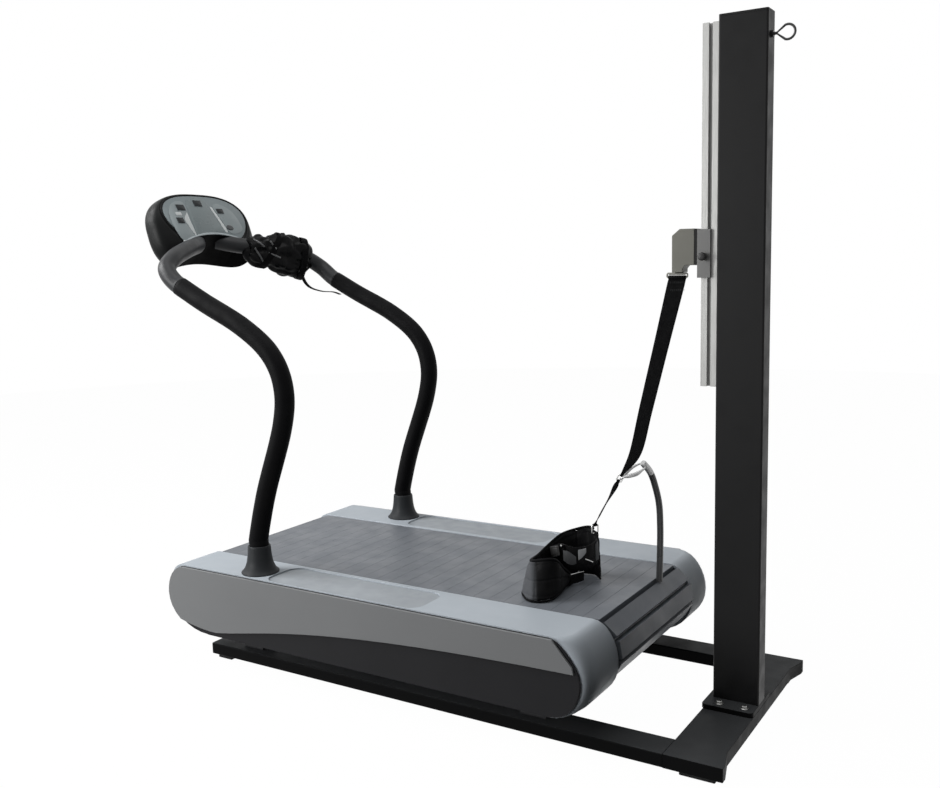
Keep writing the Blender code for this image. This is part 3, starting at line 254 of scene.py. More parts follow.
def painted(name, colour, rough, specular, metal=0, peel=0.00003):
    made = Finish(name, colour, rough, metal, specular)
    made.mottle(made.noise(3), 0.1)
    made.mottle(made.noise(1600, 1), 0.06)
    made.polish(made.noise(18), rough - 0.05, rough + 0.07)
    return made.bump(made.noise(420, 2), peel)


def brushed(name, colour, rough, stretch=(1, 1, 0.02), metal=1):
    made = Finish(name, colour, rough, metal)
    lines = made.noise(900, 2, stretch)
    made.mottle(lines, 0.16)
    made.polish(lines, rough - 0.07, rough + 0.1)
    made.mottle(made.noise(7), 0.1)
    return made.bump(lines, 0.00002)


def bright(name, colour, rough):
    made = Finish(name, colour, rough, 1)
    made.mottle(made.noise(120), 0.1)
    made.polish(made.noise(260), rough - 0.05, rough + 0.12)
    return made.bump(made.noise(300, 1), 0.000006)


SILVER = painted("cover_silver", (0.42, 0.46, 0.5), 0.42, 0.1)
SIDE_GREY = painted("panel_grey", (0.2, 0.205, 0.209), 0.42, 0.18)
SIDE_DARK = moulded("panel_dark", (0.013, 0.013, 0.0145), 0.45, 0.12)
STRIP = moulded("strip_grey", (0.3, 0.325, 0.35), 0.5, 0.35, 500, 0.00015)
FRAME = painted("frame_paint", (0.0045, 0.0046, 0.0048), 0.42, 0.03)
# Top faces painted paler: a painted sheen, the light the satin black paint catches from above
FRAME.tint(FRAME.upward(), (0.044, 0.046, 0.048), 0.6, 0.95)
COLUMN = painted("black_paint", (0.009, 0.009, 0.0093), 0.42, 0.12)
PAD = moulded("pad_rubber", (0.008, 0.008, 0.008), 0.75, 0.2, 500, 0.0001)
RAIL = brushed("rail_aluminium", (0.3, 0.3, 0.293), 0.48)
BRACKET = painted("bracket_paint", (0.14, 0.138, 0.12), 0.42, 0.25, 0.1)
CARRIAGE = painted("carriage_paint", (0.13, 0.13, 0.128), 0.42, 0.3, 0.3)
STEEL = bright("steel", (0.4, 0.4, 0.39), 0.28)
EYE = painted("eye_steel", (0.23, 0.228, 0.205), 0.4, 0.4, 0.4).of("steel")
BLACK_WIRE = painted("black_wire", (0.01, 0.01, 0.01), 0.34, 0.35).of("steel")
CHROME = bright("bright_metal", (0.56, 0.56, 0.55), 0.22)
FERRULE = brushed("ferrule_metal", (0.4, 0.4, 0.4), 0.34, metal=0.9).of("bright_metal")
CAST = painted("cast_metal", (0.034, 0.034, 0.036), 0.55, 0.3, 0.3, 0.0001)
DRUM = brushed("drum_metal", (0.1, 0.1, 0.1), 0.42, (1, 0.02, 1), 0.8)
FOAM = moulded("grip_foam", (0.0026, 0.0026, 0.003), 0.55, 0.05, 650, 0.00012)
HOSE = moulded("rod_sleeve", (0.03, 0.031, 0.032), 0.3, 0.5, 500, 0.00004).of("grip_foam")
BOOT = moulded("boot_plastic", (0.018, 0.02, 0.022), 0.5, 0.15)
ARM = painted("arm_paint", (0.022, 0.023, 0.025), 0.42, 0.2)
HOOD = moulded("hood_plastic", (0.0035, 0.004, 0.0042), 0.42, 0.1, 700, 0.0001)
# A darker, duller copy of the hood plastic for the arch's tunnel: painted shade under the pod
HOOD_PAINTED_SHADE = moulded("hood_painted_shade", (0.0015, 0.0015, 0.0016), 0.6, 0.03, 700, 0.0001).of("hood_plastic")
FACE = painted("face_plastic", (0.22, 0.262, 0.274), 0.34, 0.45, 0.2)
FACE_MODULE = painted("face_module", (0.29, 0.335, 0.345), 0.32, 0.45, 0.2).of("face_plastic")
FACE_MIDDLE = painted("face_middle", (0.245, 0.29, 0.298), 0.3, 0.35, 0.1).of("face_plastic")
FACE_LIP = painted("face_lip", (0.5, 0.56, 0.58), 0.25, 0.5, 0.2).of("face_plastic")
SCREEN = moulded("screen_plastic", (0.012, 0.016, 0.018), 0.25, 0.2, 300, 0.00001).of("face_plastic")
LIGHT_BAR = moulded("light_strip", (0.88, 0.93, 0.93), 0.3, 0.5, 400, 0.00002).of("face_plastic")
KEY = moulded("key_plastic", (0.03, 0.036, 0.04), 0.25, 0.5, 500, 0.00002)
KNOB = moulded("knob_plastic", (0.014, 0.014, 0.014), 0.4, 0.35)

BELT = Finish("belt_slat", (0.138, 0.15, 0.168), 0.48, 0, 0.3)
BELT.mottle(BELT.noise(5), 0.14)
BELT.mottle(BELT.noise(60, 2, (1, 0.12, 1)), 0.1)
BELT.polish(BELT.noise(14), 0.4, 0.54)
BELT.bump(BELT.noise(750, 2), 0.0001)

WEB = Finish("webbing", (0.0022, 0.0022, 0.0025), 0.7, 0, 0.04)
weave = WEB.wave(95, "DIAGONAL")
WEB.tint(weave, (0.0045, 0.0045, 0.0049), 0.2, 0.9)
WEB.bump(weave, 0.00025)
WEB.bump(WEB.wave(48, "X"), 0.00015)
WEB.polish(WEB.noise(40), 0.52, 0.72)

# The padding is painted a paler grey where it lies furthest to the camera's left: painted light on the band's outer
# side, which faces the lamps
PADDING = Finish("padding", (0.0026, 0.0026, 0.0029), 0.6, 0, 0.06).of("webbing")
PADDING.mottle(PADDING.noise(16), 0.25)
PADDING.tint(PADDING.noise(1300, 1), (0.005, 0.005, 0.0054), 0.45, 0.75)
PADDING.tint(PADDING.reach((-0.848, -0.53, 0)), (0.072, 0.075, 0.081), -0.285, -0.266)
PADDING.polish(PADDING.noise(30), 0.46, 0.68)
PADDING.bump(PADDING.noise(1100, 2), 0.00012)
PADDING.bump(PADDING.noise(55), 0.0012)

THREAD = moulded("thread", (0.04, 0.04, 0.042), 0.6, 0.3, 1500, 0.0001).of("webbing")
PATCH = moulded("grey_webbing", (0.105, 0.108, 0.112), 0.55, 0.3, 1100, 0.00015).of("webbing")
RETRO = moulded("pale_webbing", (0.78, 0.79, 0.8), 0.45, 0.4, 1100, 0.00012).of("webbing")
# Pale grey of the streaks on the harness bundle: painted highlights
HARNESS_HIGHLIGHT = moulded("harness_highlight_streak", (0.12, 0.122, 0.125), 0.4, 0.5, 1100, 0.0001).of("webbing")
SHINY = Finish("coated_cloth", (0.0012, 0.0012, 0.0015), 0.26, 0, 0.08).of("webbing")
SHINY.mottle(SHINY.noise(14), 0.2)
SHINY.polish(SHINY.noise(34), 0.22, 0.46)
SHINY.bump(SHINY.noise(1200, 2), 0.00008)
SHINY.bump(SHINY.noise(38), 0.003)


# Mesh helpers
def shade(mesh, angle=35):
    mesh.shade_smooth()
    mesh.set_sharp_from_angle(angle=radians(angle))


def solid(name, verts, faces):
    """A bare mesh object, without finish or body."""
    mesh = bpy.data.meshes.new(name)
    mesh.from_pydata([tuple(v) for v in verts], [], faces)
    return linked(name, mesh)


def place(name, verts, faces, finish, body="base", angle=35, uvs=None):
    """A new piece with its finish, riding its body."""
    obj = solid(name, verts, faces)
    mesh = obj.data
    mesh.validate()
    if uvs is not None:
        layer = mesh.uv_layers.new(name="weave")
        for loop in mesh.loops:
            layer.data[loop.index].uv = uvs[loop.vertex_index]
    shade(mesh, angle)
    mesh.materials.append(finish.material)
    if body:
        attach(obj, body)
    return obj


def applied(obj):
    """Keep what the modifiers make of a piece as its mesh."""
    bpy.context.view_layer.update()
    mesh = bpy.data.meshes.new_from_object(obj.evaluated_get(bpy.context.evaluated_depsgraph_get()))
    old = obj.data
    obj.modifiers.clear()
    obj.data = mesh
    bpy.data.meshes.remove(old)
    return obj


def carved(obj, shape, angle=35):
    """Cut a closed shape, given as vertices and faces, out of a piece."""
    cutter = solid("cutter", *shape)
    cut = obj.modifiers.new("cut", "BOOLEAN")
    cut.operation = "DIFFERENCE"
    cut.solver = "EXACT"
    cut.object = cutter
    applied(obj)
    bpy.data.objects.remove(cutter)
    shade(obj.data, angle)
    return obj


def bevelled(bm, edges, width, segments):
    bmesh.ops.bevel(bm, geom=edges, offset=width, offset_type="OFFSET", segments=segments, profile=0.5,
                    affect="EDGES", clamp_overlap=True)


def from_bmesh(name, bm, finish, body, angle):
    bm.verts.index_update()
    verts = [v.co.copy() for v in bm.verts]
    faces = [[v.index for v in f.verts] for f in bm.faces]
    bm.free()
    return place(name, verts, faces, finish, body, angle)


def softened(node, finish, width=0.0012, segments=2, angle=32):
    """The CAD piece again, its flat areas whole and its hard edges rounded, standing for it."""
    bm = bmesh.new()
    bm.from_mesh(nodes[node].data)
    bmesh.ops.remove_doubles(bm, verts=bm.verts, dist=0.000002)
    bmesh.ops.dissolve_limit(bm, angle_limit=radians(0.4), verts=bm.verts, edges=bm.edges)
    sharp = [e for e in bm.edges if len(e.link_faces) == 2 and e.calc_face_angle(0) > radians(angle)]
    bevelled(bm, sharp, width, segments)
    obj = from_bmesh(node + "_look", bm, finish, nodes[node]["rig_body"], angle)
    even = obj.modifiers.new("even", "WEIGHTED_NORMAL")
    even.keep_sharp = True
    even.weight = 90
    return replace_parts(applied(obj), node)


def repaint(node, finish):
    slot = nodes[node].material_slots[0]
    slot.link = "OBJECT"
    slot.material = finish.material


def smooth_path(points, steps, start=None, end=None):
    """A smooth curve through points, its end directions given or as the points run."""
    points = [Vector(p) for p in points]
    last = len(points) - 1
    slopes = [(points[min(i + 1, last)] - points[max(i - 1, 0)]) / 2 for i in range(last + 1)]
    slopes[0] = points[1] - points[0]
    slopes[-1] = points[-1] - points[-2]
    for i, way in ((0, start), (-1, end)):
        if way is not None:
            slopes[i] = Vector(way).normalized() * slopes[i].length
    path = []
    for i in range(last):
        for k in range(steps):
            t = k / steps
            path.append(points[i] * (2 * t ** 3 - 3 * t ** 2 + 1) + slopes[i] * (t ** 3 - 2 * t ** 2 + t)
                        + points[i + 1] * (3 * t ** 2 - 2 * t ** 3) + slopes[i + 1] * (t ** 3 - t ** 2))
    return path + [points[-1]]


def loop_path(points, steps=6):
    """A smooth closed loop through flat points."""
    points = [Vector((*p, 0)) for p in points]
    out = []
    for i in range(len(points)):
        a, b, c, d = (points[(i + k) % len(points)] for k in (-1, 0, 1, 2))
        for k in range(steps):
            t = k / steps
            out.append(0.5 * (2 * b + (c - a) * t + (2 * a - 5 * b + 4 * c - d) * t ** 2
                              + (3 * b - a - 3 * c + d) * t ** 3))
    return [(p.x, p.y) for p in out]


def rounded(low, high, radius, steps=6):
    """A rectangle with round corners, as flat points."""
    (u0, v0), (u1, v1) = low, high
    corners = ((u1 - radius, v1 - radius, 0), (u0 + radius, v1 - radius, 90),
               (u0 + radius, v0 + radius, 180), (u1 - radius, v0 + radius, 270))
    turns = [(u, v, radians(a + 90 * k / steps)) for u, v, a in corners for k in range(steps + 1)]
    return [(u + radius * cos(t), v + radius * sin(t)) for u, v, t in turns]


def strips(rings, size, closed=False):
    """Quads between rings of vertices, capped at both ends unless the last ring joins the first."""
    faces = []
    for i in range(rings if closed else rings - 1):
        a, b = i * size, (i + 1) % rings * size
        faces += [[a + k, a + (k + 1) % size, b + (k + 1) % size, b + k] for k in range(size)]
    if not closed:
        faces += [list(range(size))[::-1], list(range((rings - 1) * size, rings * size))]
    return faces


def circle(centre, side, other, radius, sides, lobes=0, depth=0):
    """Points round a centre, drawn in between lobes where there are any."""
    spots = []
    for k in range(sides):
        t = 2 * pi * k / sides
        wide = radius * (1 - depth * (0.5 - 0.5 * cos(lobes * t)))
        spots.append(centre + (side * cos(t) + other * sin(t)) * wide)
    return spots


def swept(points, radii, sides, closed=False):
    """Vertices and faces of a round tube along points; radii is one number or one for each point."""
    points = [Vector(p) for p in points]
    count = len(points)
    if not hasattr(radii, "__len__"):
        radii = [radii] * count
    tangents = []
    for i in range(count):
        a = points[(i - 1) % count] if closed else points[max(i - 1, 0)]
        b = points[(i + 1) % count] if closed else points[min(i + 1, count - 1)]
        tangents.append((b - a).normalized())
    side = Vector((0, 1, 0)) if abs(tangents[0].y) < 0.9 else Vector((1, 0, 0))
    side = (side - tangents[0] * side.dot(tangents[0])).normalized()
    verts = []
    for p, t, r in zip(points, tangents, radii):
        side = (side - t * side.dot(t)).normalized()
        verts += circle(p, side, t.cross(side), r, sides)
    return verts, strips(count, sides, closed)


def sweep(name, points, radii, finish, sides=12, closed=False):
    return place(name, *swept(points, radii, sides, closed), finish, "base", 40)


def lathe(name, profile, centre, axis, finish, body="base", sides=48, angle=35, ring=False, weave=0, **lobes):
    """A profile of (radius, height) turned about an axis; a ring joins its last point to its first."""
    axis = Vector(axis).normalized()
    seed = UP if abs(axis.z) < 0.9 else Vector((1, 0, 0))
    side = (seed - axis * seed.dot(axis)).normalized()
    verts, uvs = [], []
    for r, h in profile:
        verts += circle(Vector(centre) + axis * h, side, axis.cross(side), r, sides, **lobes)
        uvs += [(h * 10, 2 * pi * k / sides * weave * 10) for k in range(sides)]
    return place(name, verts, strips(len(profile), sides, ring), finish, body, angle, uvs if weave else None)


def sleeve(name, middle, half, outer, inner, body="base"):
    """A band of webbing sewn round a bar, as a short open tube with rounded rims."""
    long = 2 * half.length
    soft = (outer - inner) * 0.3
    profile = [(outer - soft, 0), (outer, soft), (outer, long - soft), (outer - soft, long), (inner + soft, long),
               (inner, long - soft), (inner, soft), (inner + soft, 0)]
    return lathe(name, profile, middle - half, half, WEB, body, 32, 50, True, outer)


def pair(spot, half):
    """The two edge points of a band whose middle is at a spot."""
    return spot - half, spot + half


def slab(name, outline, normal, thickness, edge, finish, body="base", steps=2):
    """A closed outline given a thickness along normal, with its outer rim rounded."""
    normal = Vector(normal).normalized()
    bm = bmesh.new()
    low = [bm.verts.new(p) for p in outline]
    high = [bm.verts.new(Vector(p) + normal * thickness) for p in outline]
    bm.faces.new(low[::-1])
    top = bm.faces.new(high)
    for quad in zip(low, low[1:] + low[:1], high[1:] + high[:1], high):
        bm.faces.new(quad)
    bm.normal_update()
    if top.normal.dot(normal) < 0:
        bmesh.ops.reverse_faces(bm, faces=bm.faces)
    bevelled(bm, list(top.edges), edge, steps)
    return from_bmesh(name, bm, finish, body, 28)


def superball(name, centre, halves, turn, exponent, finish, cuts):
    """A ball stretched to three half axes, boxier for a higher exponent, made of even quads."""
    grid = [tan(radians(90 * k / cuts - 45)) for k in range(cuts + 1)]
    bm = bmesh.new()
    for axis in range(3):
        for sign in (-1, 1):
            made = []
            for u in grid:
                for v in grid:
                    spot = [0, 0, 0]
                    spot[axis], spot[(axis + 1) % 3], spot[(axis + 2) % 3] = sign, u, v
                    stretch = Vector([s * h for s, h in zip(spot, halves)])
                    size = sum(abs(c / h) ** exponent for c, h in zip(stretch, halves)) ** (1 / exponent)
                    made.append(bm.verts.new(Vector(centre) + turn @ (stretch / size)))
            for i in range(cuts):
                for j in range(cuts):
                    a = i * (cuts + 1) + j
                    quad = [made[k] for k in (a, a + 1, a + cuts + 2, a + cuts + 1)]
                    bm.faces.new(quad if sign < 0 else quad[::-1])
    bmesh.ops.remove_doubles(bm, verts=bm.verts, dist=0.000005)
    bmesh.ops.recalc_face_normals(bm, faces=bm.faces)
    return from_bmesh(name, bm, finish, None, 60)


def inflated(obj, cap, pressure=4, lowest=-1):
    """Fill a closed soft shape by a short cloth simulation, each point staying near its start."""
    remesh = obj.modifiers.new("even", "REMESH")
    remesh.mode = "VOXEL"
    remesh.voxel_size = 0.0045
    applied(obj)
    before = [v.co.copy() for v in obj.data.vertices]
    cloth = obj.modifiers.new("fill", "CLOTH")
    cloth.settings.use_pressure = True
    cloth.settings.uniform_pressure_force = pressure
    cloth.settings.effector_weights.gravity = 0
    for step in range(1, 21):
        scene.frame_set(step)
    applied(obj)
    scene.frame_set(1)
    for v, start in zip(obj.data.vertices, before):
        move = v.co - start
        if move.length > cap:
            v.co = start + move * (cap / move.length)
    obj.modifiers.new("fine", "SUBSURF").levels = 1
    applied(obj)
    for v in obj.data.vertices:
        v.co.z = max(v.co.z, lowest)
    obj.data.shade_smooth()
    return obj


def banded(edges, thickness, steps=10, columns=6, ripple=0, seed=0):
    """A flat band between two smooth edges: vertices, faces, weave coordinates and (point, share, run) samples."""
    left = smooth_path([e[0] for e in edges], steps)
    right = smooth_path([e[1] for e in edges], steps)
    middle = [(a + b) / 2 for a, b in zip(left, right)]
    last = len(left) - 1
    section = [(k / columns, 1) for k in range(columns + 1)]
    section += [(k / columns, -1) for k in range(columns, -1, -1)]
    verts, uvs, samples = [], [], []
    run = 0
    for i in range(last + 1):
        if i:
            run += (middle[i] - middle[i - 1]).length
        along = (middle[min(i + 1, last)] - middle[max(i - 1, 0)]).normalized()
        wide = right[i] - left[i]
        normal = wide.cross(along).normalized()
        samples += [(left[i] + wide * (k / 24), k / 24, run) for k in range(25)]
        for share, face in section:
            edge = max(0, 1 - (abs(share - 0.5) * 2) ** 6)
            lift = face * thickness / 2 * (0.35 + 0.65 * edge)
            if ripple:
                lift += ripple * noise.noise(Vector((run * 22, share * 1.6, seed)))
            verts.append(left[i] + wide * share + normal * lift)
            uvs.append((share * wide.length * 10, run * 10))
    return verts, strips(last + 1, len(section)), uvs, samples


def web(name, edges, thickness, finish, body="base", **shape):
    """A flat woven band between two smooth edges, with rounded selvedges."""
    verts, faces, uvs, _ = banded(edges, thickness, **shape)
    return place(name, verts, faces, finish, body, 60, uvs)


STITCH = 0.0032
STITCH_GAP = 0.0024
THREAD_RADIUS = 0.00045


def stitches(name, start, end, normal, body):
    """A straight row of short raised stitches on cloth."""
    along = (end - start).normalized()
    square = along.cross(normal).normalized()
    verts, faces = [], []
    for k in range(int((end - start).length / (STITCH + STITCH_GAP))):
        first = start + along * (STITCH_GAP + k * (STITCH + STITCH_GAP)) + normal * (THREAD_RADIUS * 0.35)
        faces += [[len(verts) + i for i in face] for face in strips(4, 5)]
        for share, grow in ((0, 0.35), (0.3, 1), (0.7, 1), (1, 0.35)):
            verts += circle(first + along * (STITCH * share), square, normal, THREAD_RADIUS * grow, 5)
    return place(name, verts, faces, THREAD, body, 60)


# Hard pieces: the CAD shapes with rounded edges and their finishes
for word in ("near", "far"):
    for node, *look in (
            ("side_cover_", SILVER, 0.0025, 3, 40), ("foot_strip_", STRIP, 0.0008), ("side_panel_", SIDE_GREY),
            ("lower_panel_", SIDE_DARK), ("frame_tube_", FRAME), ("foot_pad_front_", PAD, 0.001),
            ("foot_pad_rear_", PAD, 0.001)):
        softened(node + word, *look)
for node, *look in (
        ("frame_cross_front", FRAME), ("rear_base_plate", FRAME), ("column_flange", FRAME), ("column", COLUMN, 0.001),
        ("column_cap", COLUMN, 0.001), ("rail", RAIL, 0.0005, 1), ("carriage", CARRIAGE, 0.0008),
        ("spacer_plate", COLUMN, 0.0006), ("load_cell_housing", BRACKET, 0.0012, 3)):
    softened(node, *look)
for finish, names in (
        (BELT, "slat_belt"), (DRUM, "front_drum rear_drum"), (BLACK_WIRE, "eye_bolt"), (EYE, "strap_eye"),
        (CAST, "brake_unit bed_rail_near bed_rail_far chassis_side_near chassis_side_far chassis_cross_front "
               "chassis_cross_rear"),
        (STEEL, "brake_rotor bearing_front_near bearing_front_far bearing_rear_near bearing_rear_far")):
    for node in names.split():
        repaint(node, finish)

# Positions shared by the pieces below, as in the CAD
GAP = 0.0003
DECK_TOP = 0.333
SLAT_TOP = 0.331
BODY_REAR = 0.756
HANDRAIL_X = -0.438
HANDRAIL_Y = 0.395
FLANGE_TOP = 0.0643
RAIL_X = 0.9092
CARRIAGE_HEIGHT = 1.312
FOAM_RADIUS = 0.0308
ARM_RADIUS = 0.029
RING_WIRE = 0.002
HOOK_WIRE = 0.0027
ARM_FOOT = (0.021, 0.05, -0.025)
rail_lean = Vector((-0.894, 0, 0.447)).normalized()
console_centre = Vector((-1.0312, 0, 1.425))


def behind(x, y, z):
    """A point given from the body's rear end, the middle and the deck."""
    return Vector((BODY_REAR + x, y, DECK_TOP + z))


def band_edges(rows):
    """A band's upper and lower edge in each row of millimetres, placed as by behind."""
    return [(behind(*row[:3]), behind(*row[3:])) for row in metres(rows)]


# Flange bolts, with a washer under each head
WASHER = metres([(11.5, 0), (11.5, 1.4), (11, 1.8), (3, 1.8)])
BOLT_HEAD = metres([(8, 0), (8, 4.836), (6.88, 6.2)])
for i, (x, y) in enumerate(((0.962, -0.064), (1.032, -0.064), (0.962, 0.064), (1.032, 0.064))):
    lathe("flange_washer_" + str(i), WASHER, (x, y, FLANGE_TOP + 0.0002), UP, STEEL, sides=32)
    lathe("flange_bolt_" + str(i), BOLT_HEAD, (x, y, FLANGE_TOP + 0.0022), UP, STEEL, sides=6, angle=25)

# Handrails with their foam sleeves, boots and arms
RAIL_SHAPE = metres([
    (0, 0), (0, 93), (1, 117), (43, 265), (123, 480), (134, 605), (85, 705), (-25, 785), (-185, 860), (-285, 910)])
BELL = metres([(34, 88), (36, 84), (38, 60), (42, 34), (50, 14), (60, 3)])
COLLAR = metres([(29.2, -4.5), (30.4, -4), (30.8, -1.5), (30.4, 1), (29.2, 1.5)])
# How far an arm has come along x, y and z at each bend
KNEES = [(0, 0, 0), (0.226, 0.029, 0.323), (0.348, 0.217, 0.58), (0.557, 0.565, 0.774),
         (0.774, 0.855, 0.871), (1, 1, 1)]
arm_routes = {}
for word, side in (("near", -1), ("far", 1)):
    y = side * HANDRAIL_Y
    shape = [Vector((HANDRAIL_X + x, y, DECK_TOP + z)) for x, z in RAIL_SHAPE]
    top = shape[-1]
    route = [Vector((HANDRAIL_X, y, 0.24 + k * 0.031)) for k in range(3)]
    route += smooth_path(shape, 12, UP, rail_lean)
    radii = [FOAM_RADIUS + 0.0002 * noise.noise(p * 18) for p in route[:-1]]
    route[-1:] = [top - rail_lean * 0.0022, top - rail_lean * 0.0006, top - rail_lean * 0.0001]
    foam = sweep("foam_sleeve_" + word, route, radii + [FOAM_RADIUS, 0.03, 0.0285], FOAM, sides=40)
    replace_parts(foam, "handrail_" + word)
    bell = [(p.x, p.y) for p in smooth_path([(r, h, 0) for r, h in BELL], 5)]
    bell = [(0.0313, 0.088)] + bell + [(0.06, 0), (0.0313, 0)]
    boot = lathe("boot_" + word, bell, (HANDRAIL_X, y, DECK_TOP + GAP), UP, BOOT, sides=56, ring=True)
    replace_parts(boot, "handrail_boot_" + word)
    arm_end = console_centre + Vector((ARM_FOOT[0], side * ARM_FOOT[1], ARM_FOOT[2]))
    stops = [top + rail_lean * 0.01 + Vector([r * k for r, k in zip(arm_end - top, knee)]) for knee in KNEES]
    stops[-1] = arm_end
    arm_routes[word] = [top + rail_lean * GAP] + smooth_path(stops, 10, rail_lean)
    arm = sweep("arm_" + word, arm_routes[word], ARM_RADIUS, ARM, sides=40)
    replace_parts(arm, "console_arm_" + word)
    lathe("arm_collar_" + word, COLLAR, top + rail_lean * 0.006, rail_lean, ARM, ring=True)

# Console pod: even quads, its user side cut flat and its rim rounded, then the arch below
FACE_TILT = radians(30)
POD_TILT = radians(18)
ARCH_SLOPE = radians(47)
ARCH_RADIUS = 0.373
POD_HALVES = (0.235, 0.15, 0.076)
POD_POWER = 2.8
POD_SHRINK = 0.995
FACE_MIDDLE_V = 0.07
pod_turn = Matrix(((0, -sin(POD_TILT), cos(POD_TILT)), (1, 0, 0),
                   (0, cos(POD_TILT), sin(POD_TILT))))
face_origin = Vector((-0.969, 0, 1.422))
face_normal = Vector((cos(FACE_TILT), 0, sin(FACE_TILT)))
face_up = Vector((-sin(FACE_TILT), 0, cos(FACE_TILT)))
arch_down = Vector((-cos(ARCH_SLOPE), 0, -sin(ARCH_SLOPE)))
arch_up = Vector((-sin(ARCH_SLOPE), 0, cos(ARCH_SLOPE)))


def on_face(u, v, out=0):
    return face_origin + Vector((0, u, 0)) + face_up * v + face_normal * out


def arch_line(u, margin=0):
    """The height on the face at which the arch cuts it, with a margin square to the arch."""
    return (sqrt(ARCH_RADIUS ** 2 - u * u) - ARCH_RADIUS + margin) / face_up.dot(arch_up)


def within_face(u, v, margin):
    """Whether a point of the face lies inside the pod and above the arch, by a margin."""
    local = pod_turn.transposed() @ (on_face(u, v) - console_centre)
    swell = sum(abs(c / (h - margin)) ** POD_POWER for c, h in zip(local, POD_HALVES))
    return swell < 1 and v > arch_line(u, margin)


def face_edge(margin):
    """The face's outline, found along rays from a point inside it."""
    outline = []
    for t in angles(160):
        short, long = 0, 0.4
        for _ in range(24):
            middle = (short + long) / 2
            if within_face(middle * cos(t), FACE_MIDDLE_V + middle * sin(t), margin):
                short = middle
            else:
                long = middle
        outline.append((short * cos(t), FACE_MIDDLE_V + short * sin(t)))
    return outline


pod = superball("console_pod", console_centre, [h * POD_SHRINK for h in POD_HALVES], pod_turn, POD_POWER, HOOD, 34)
bm = bmesh.new()
bm.from_mesh(pod.data)
bmesh.ops.bisect_plane(bm, geom=bm.verts[:] + bm.edges[:] + bm.faces[:], dist=0.00001, plane_co=face_origin,
                       plane_no=face_normal, clear_outer=True)
rim = [e for e in bm.edges if len(e.link_faces) == 1]
bmesh.ops.holes_fill(bm, edges=rim, sides=0)
bmesh.ops.recalc_face_normals(bm, faces=bm.faces)
bevelled(bm, [e for e in rim if e.is_valid], 0.0045, 4)
bm.to_mesh(pod.data)
bm.free()
arch_middle = face_origin - arch_up * ARCH_RADIUS
carved(pod, swept([arch_middle - arch_down * 0.3, arch_middle + arch_down * 0.45], ARCH_RADIUS, 256))
for route in arm_routes.values():
    onward = (route[-1] - route[-2]).normalized()
    carved(pod, swept(route + [route[-1] + onward * GAP], ARM_RADIUS + GAP, 40))


def key_oval(grow):
    """The stop key's outline on the face, grown by a clearance."""
    return [(0.095 + (0.017 + grow) * cos(t), 0.03 + (0.011 + grow) * sin(t)) for t in angles(48)]


key_room = ([on_face(u, v, h) for h in (-0.008, 0.02) for u, v in key_oval(0.0005)], strips(2, 48))
carved(pod, key_room)
# The arch's tunnel faces take the darker hood copy: painted shade under the pod
pod.data.materials.append(HOOD_PAINTED_SHADE.material)
for polygon in pod.data.polygons:
    inward = arch_middle - polygon.center
    inward -= arch_down * inward.dot(arch_down)
    if abs(inward.length - ARCH_RADIUS) < 0.002 and inward.normalized().dot(polygon.normal) > 0.9:
        polygon.material_index = 1
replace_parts(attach(pod, "base"), "console_housing")


# Console face: its plate, the bright lip over the arch, raised modules, displays and light strips
def on_plate(name, outline, low, thickness, edge, finish):
    return slab(name, [on_face(u, v, low) for u, v in outline], face_normal, thickness, edge, finish)


PLATE_TOP = 0.0023
plate = carved(on_plate("face_plate", face_edge(0.009), GAP, 0.002, 0.0008, FACE), key_room)
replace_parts(plate, "console_face")
across_lip = np.linspace(-0.176, 0.176, 45)
lip = [(u, arch_line(u) + 0.001) for u in across_lip] + [(u, arch_line(u) + 0.0085) for u in across_lip[::-1]]
on_plate("face_lip", lip, GAP, 0.004, 0.0014, FACE_LIP)
upper_edge = [(u, v) for u, v in face_edge(0.0055) if v > arch_line(u) + 0.012]
start = max(range(len(upper_edge)), key=lambda i: (Vector(upper_edge[i]) - Vector(upper_edge[i - 1])).length)
sweep("face_rim", [on_face(u, v, 0.0012) for u, v in upper_edge[start:] + upper_edge[:start]], 0.0022, HOOD)
for name, thickness, edge, finish, outline in (
        ("face_module_left", 0.0014, 0.0008, FACE_MODULE,
         [(-174, 10), (-176, 55), (-169, 92), (-146, 122), (-112, 138), (-84, 134), (-80, 100), (-104, 72),
          (-112, 50), (-103, 18), (-100, -6), (-124, -18), (-158, -26)]),
        ("face_module_right", 0.0014, 0.0008, FACE_MODULE,
         [(56, 112), (62, 128), (88, 134), (120, 122), (146, 98), (158, 64), (160, 30), (142, 12), (108, 3),
          (87, 7), (78, 22), (70, 60)]),
        ("face_middle", 0.0008, 0.0005, FACE_MIDDLE,
         [(-66, 142), (-32, 158), (4, 163), (28, 150), (38, 112), (50, 60), (60, 18), (30, 12), (-10, 8),
          (-52, 1), (-80, -6), (-78, 40), (-74, 90)]),
        ("light_strip_left", 0.0012, 0.0005, LIGHT_BAR,
         [(-84, 96), (-91, 94), (-107, 68), (-109, 50), (-99, 12), (-93, -6), (-88, -8), (-86, 30), (-86, 60)]),
        ("light_strip_right", 0.0012, 0.0005, LIGHT_BAR,
         [(41, 118), (52, 116), (58, 92), (67, 60), (75, 24), (74, 12), (64, 12), (54, 60), (47, 90)])):
    module = on_plate(name, loop_path(metres(outline)), PLATE_TOP, thickness, edge, finish)
    if name == "face_module_right":
        carved(module, key_room)
MODULE_TOP = PLATE_TOP + 0.0014
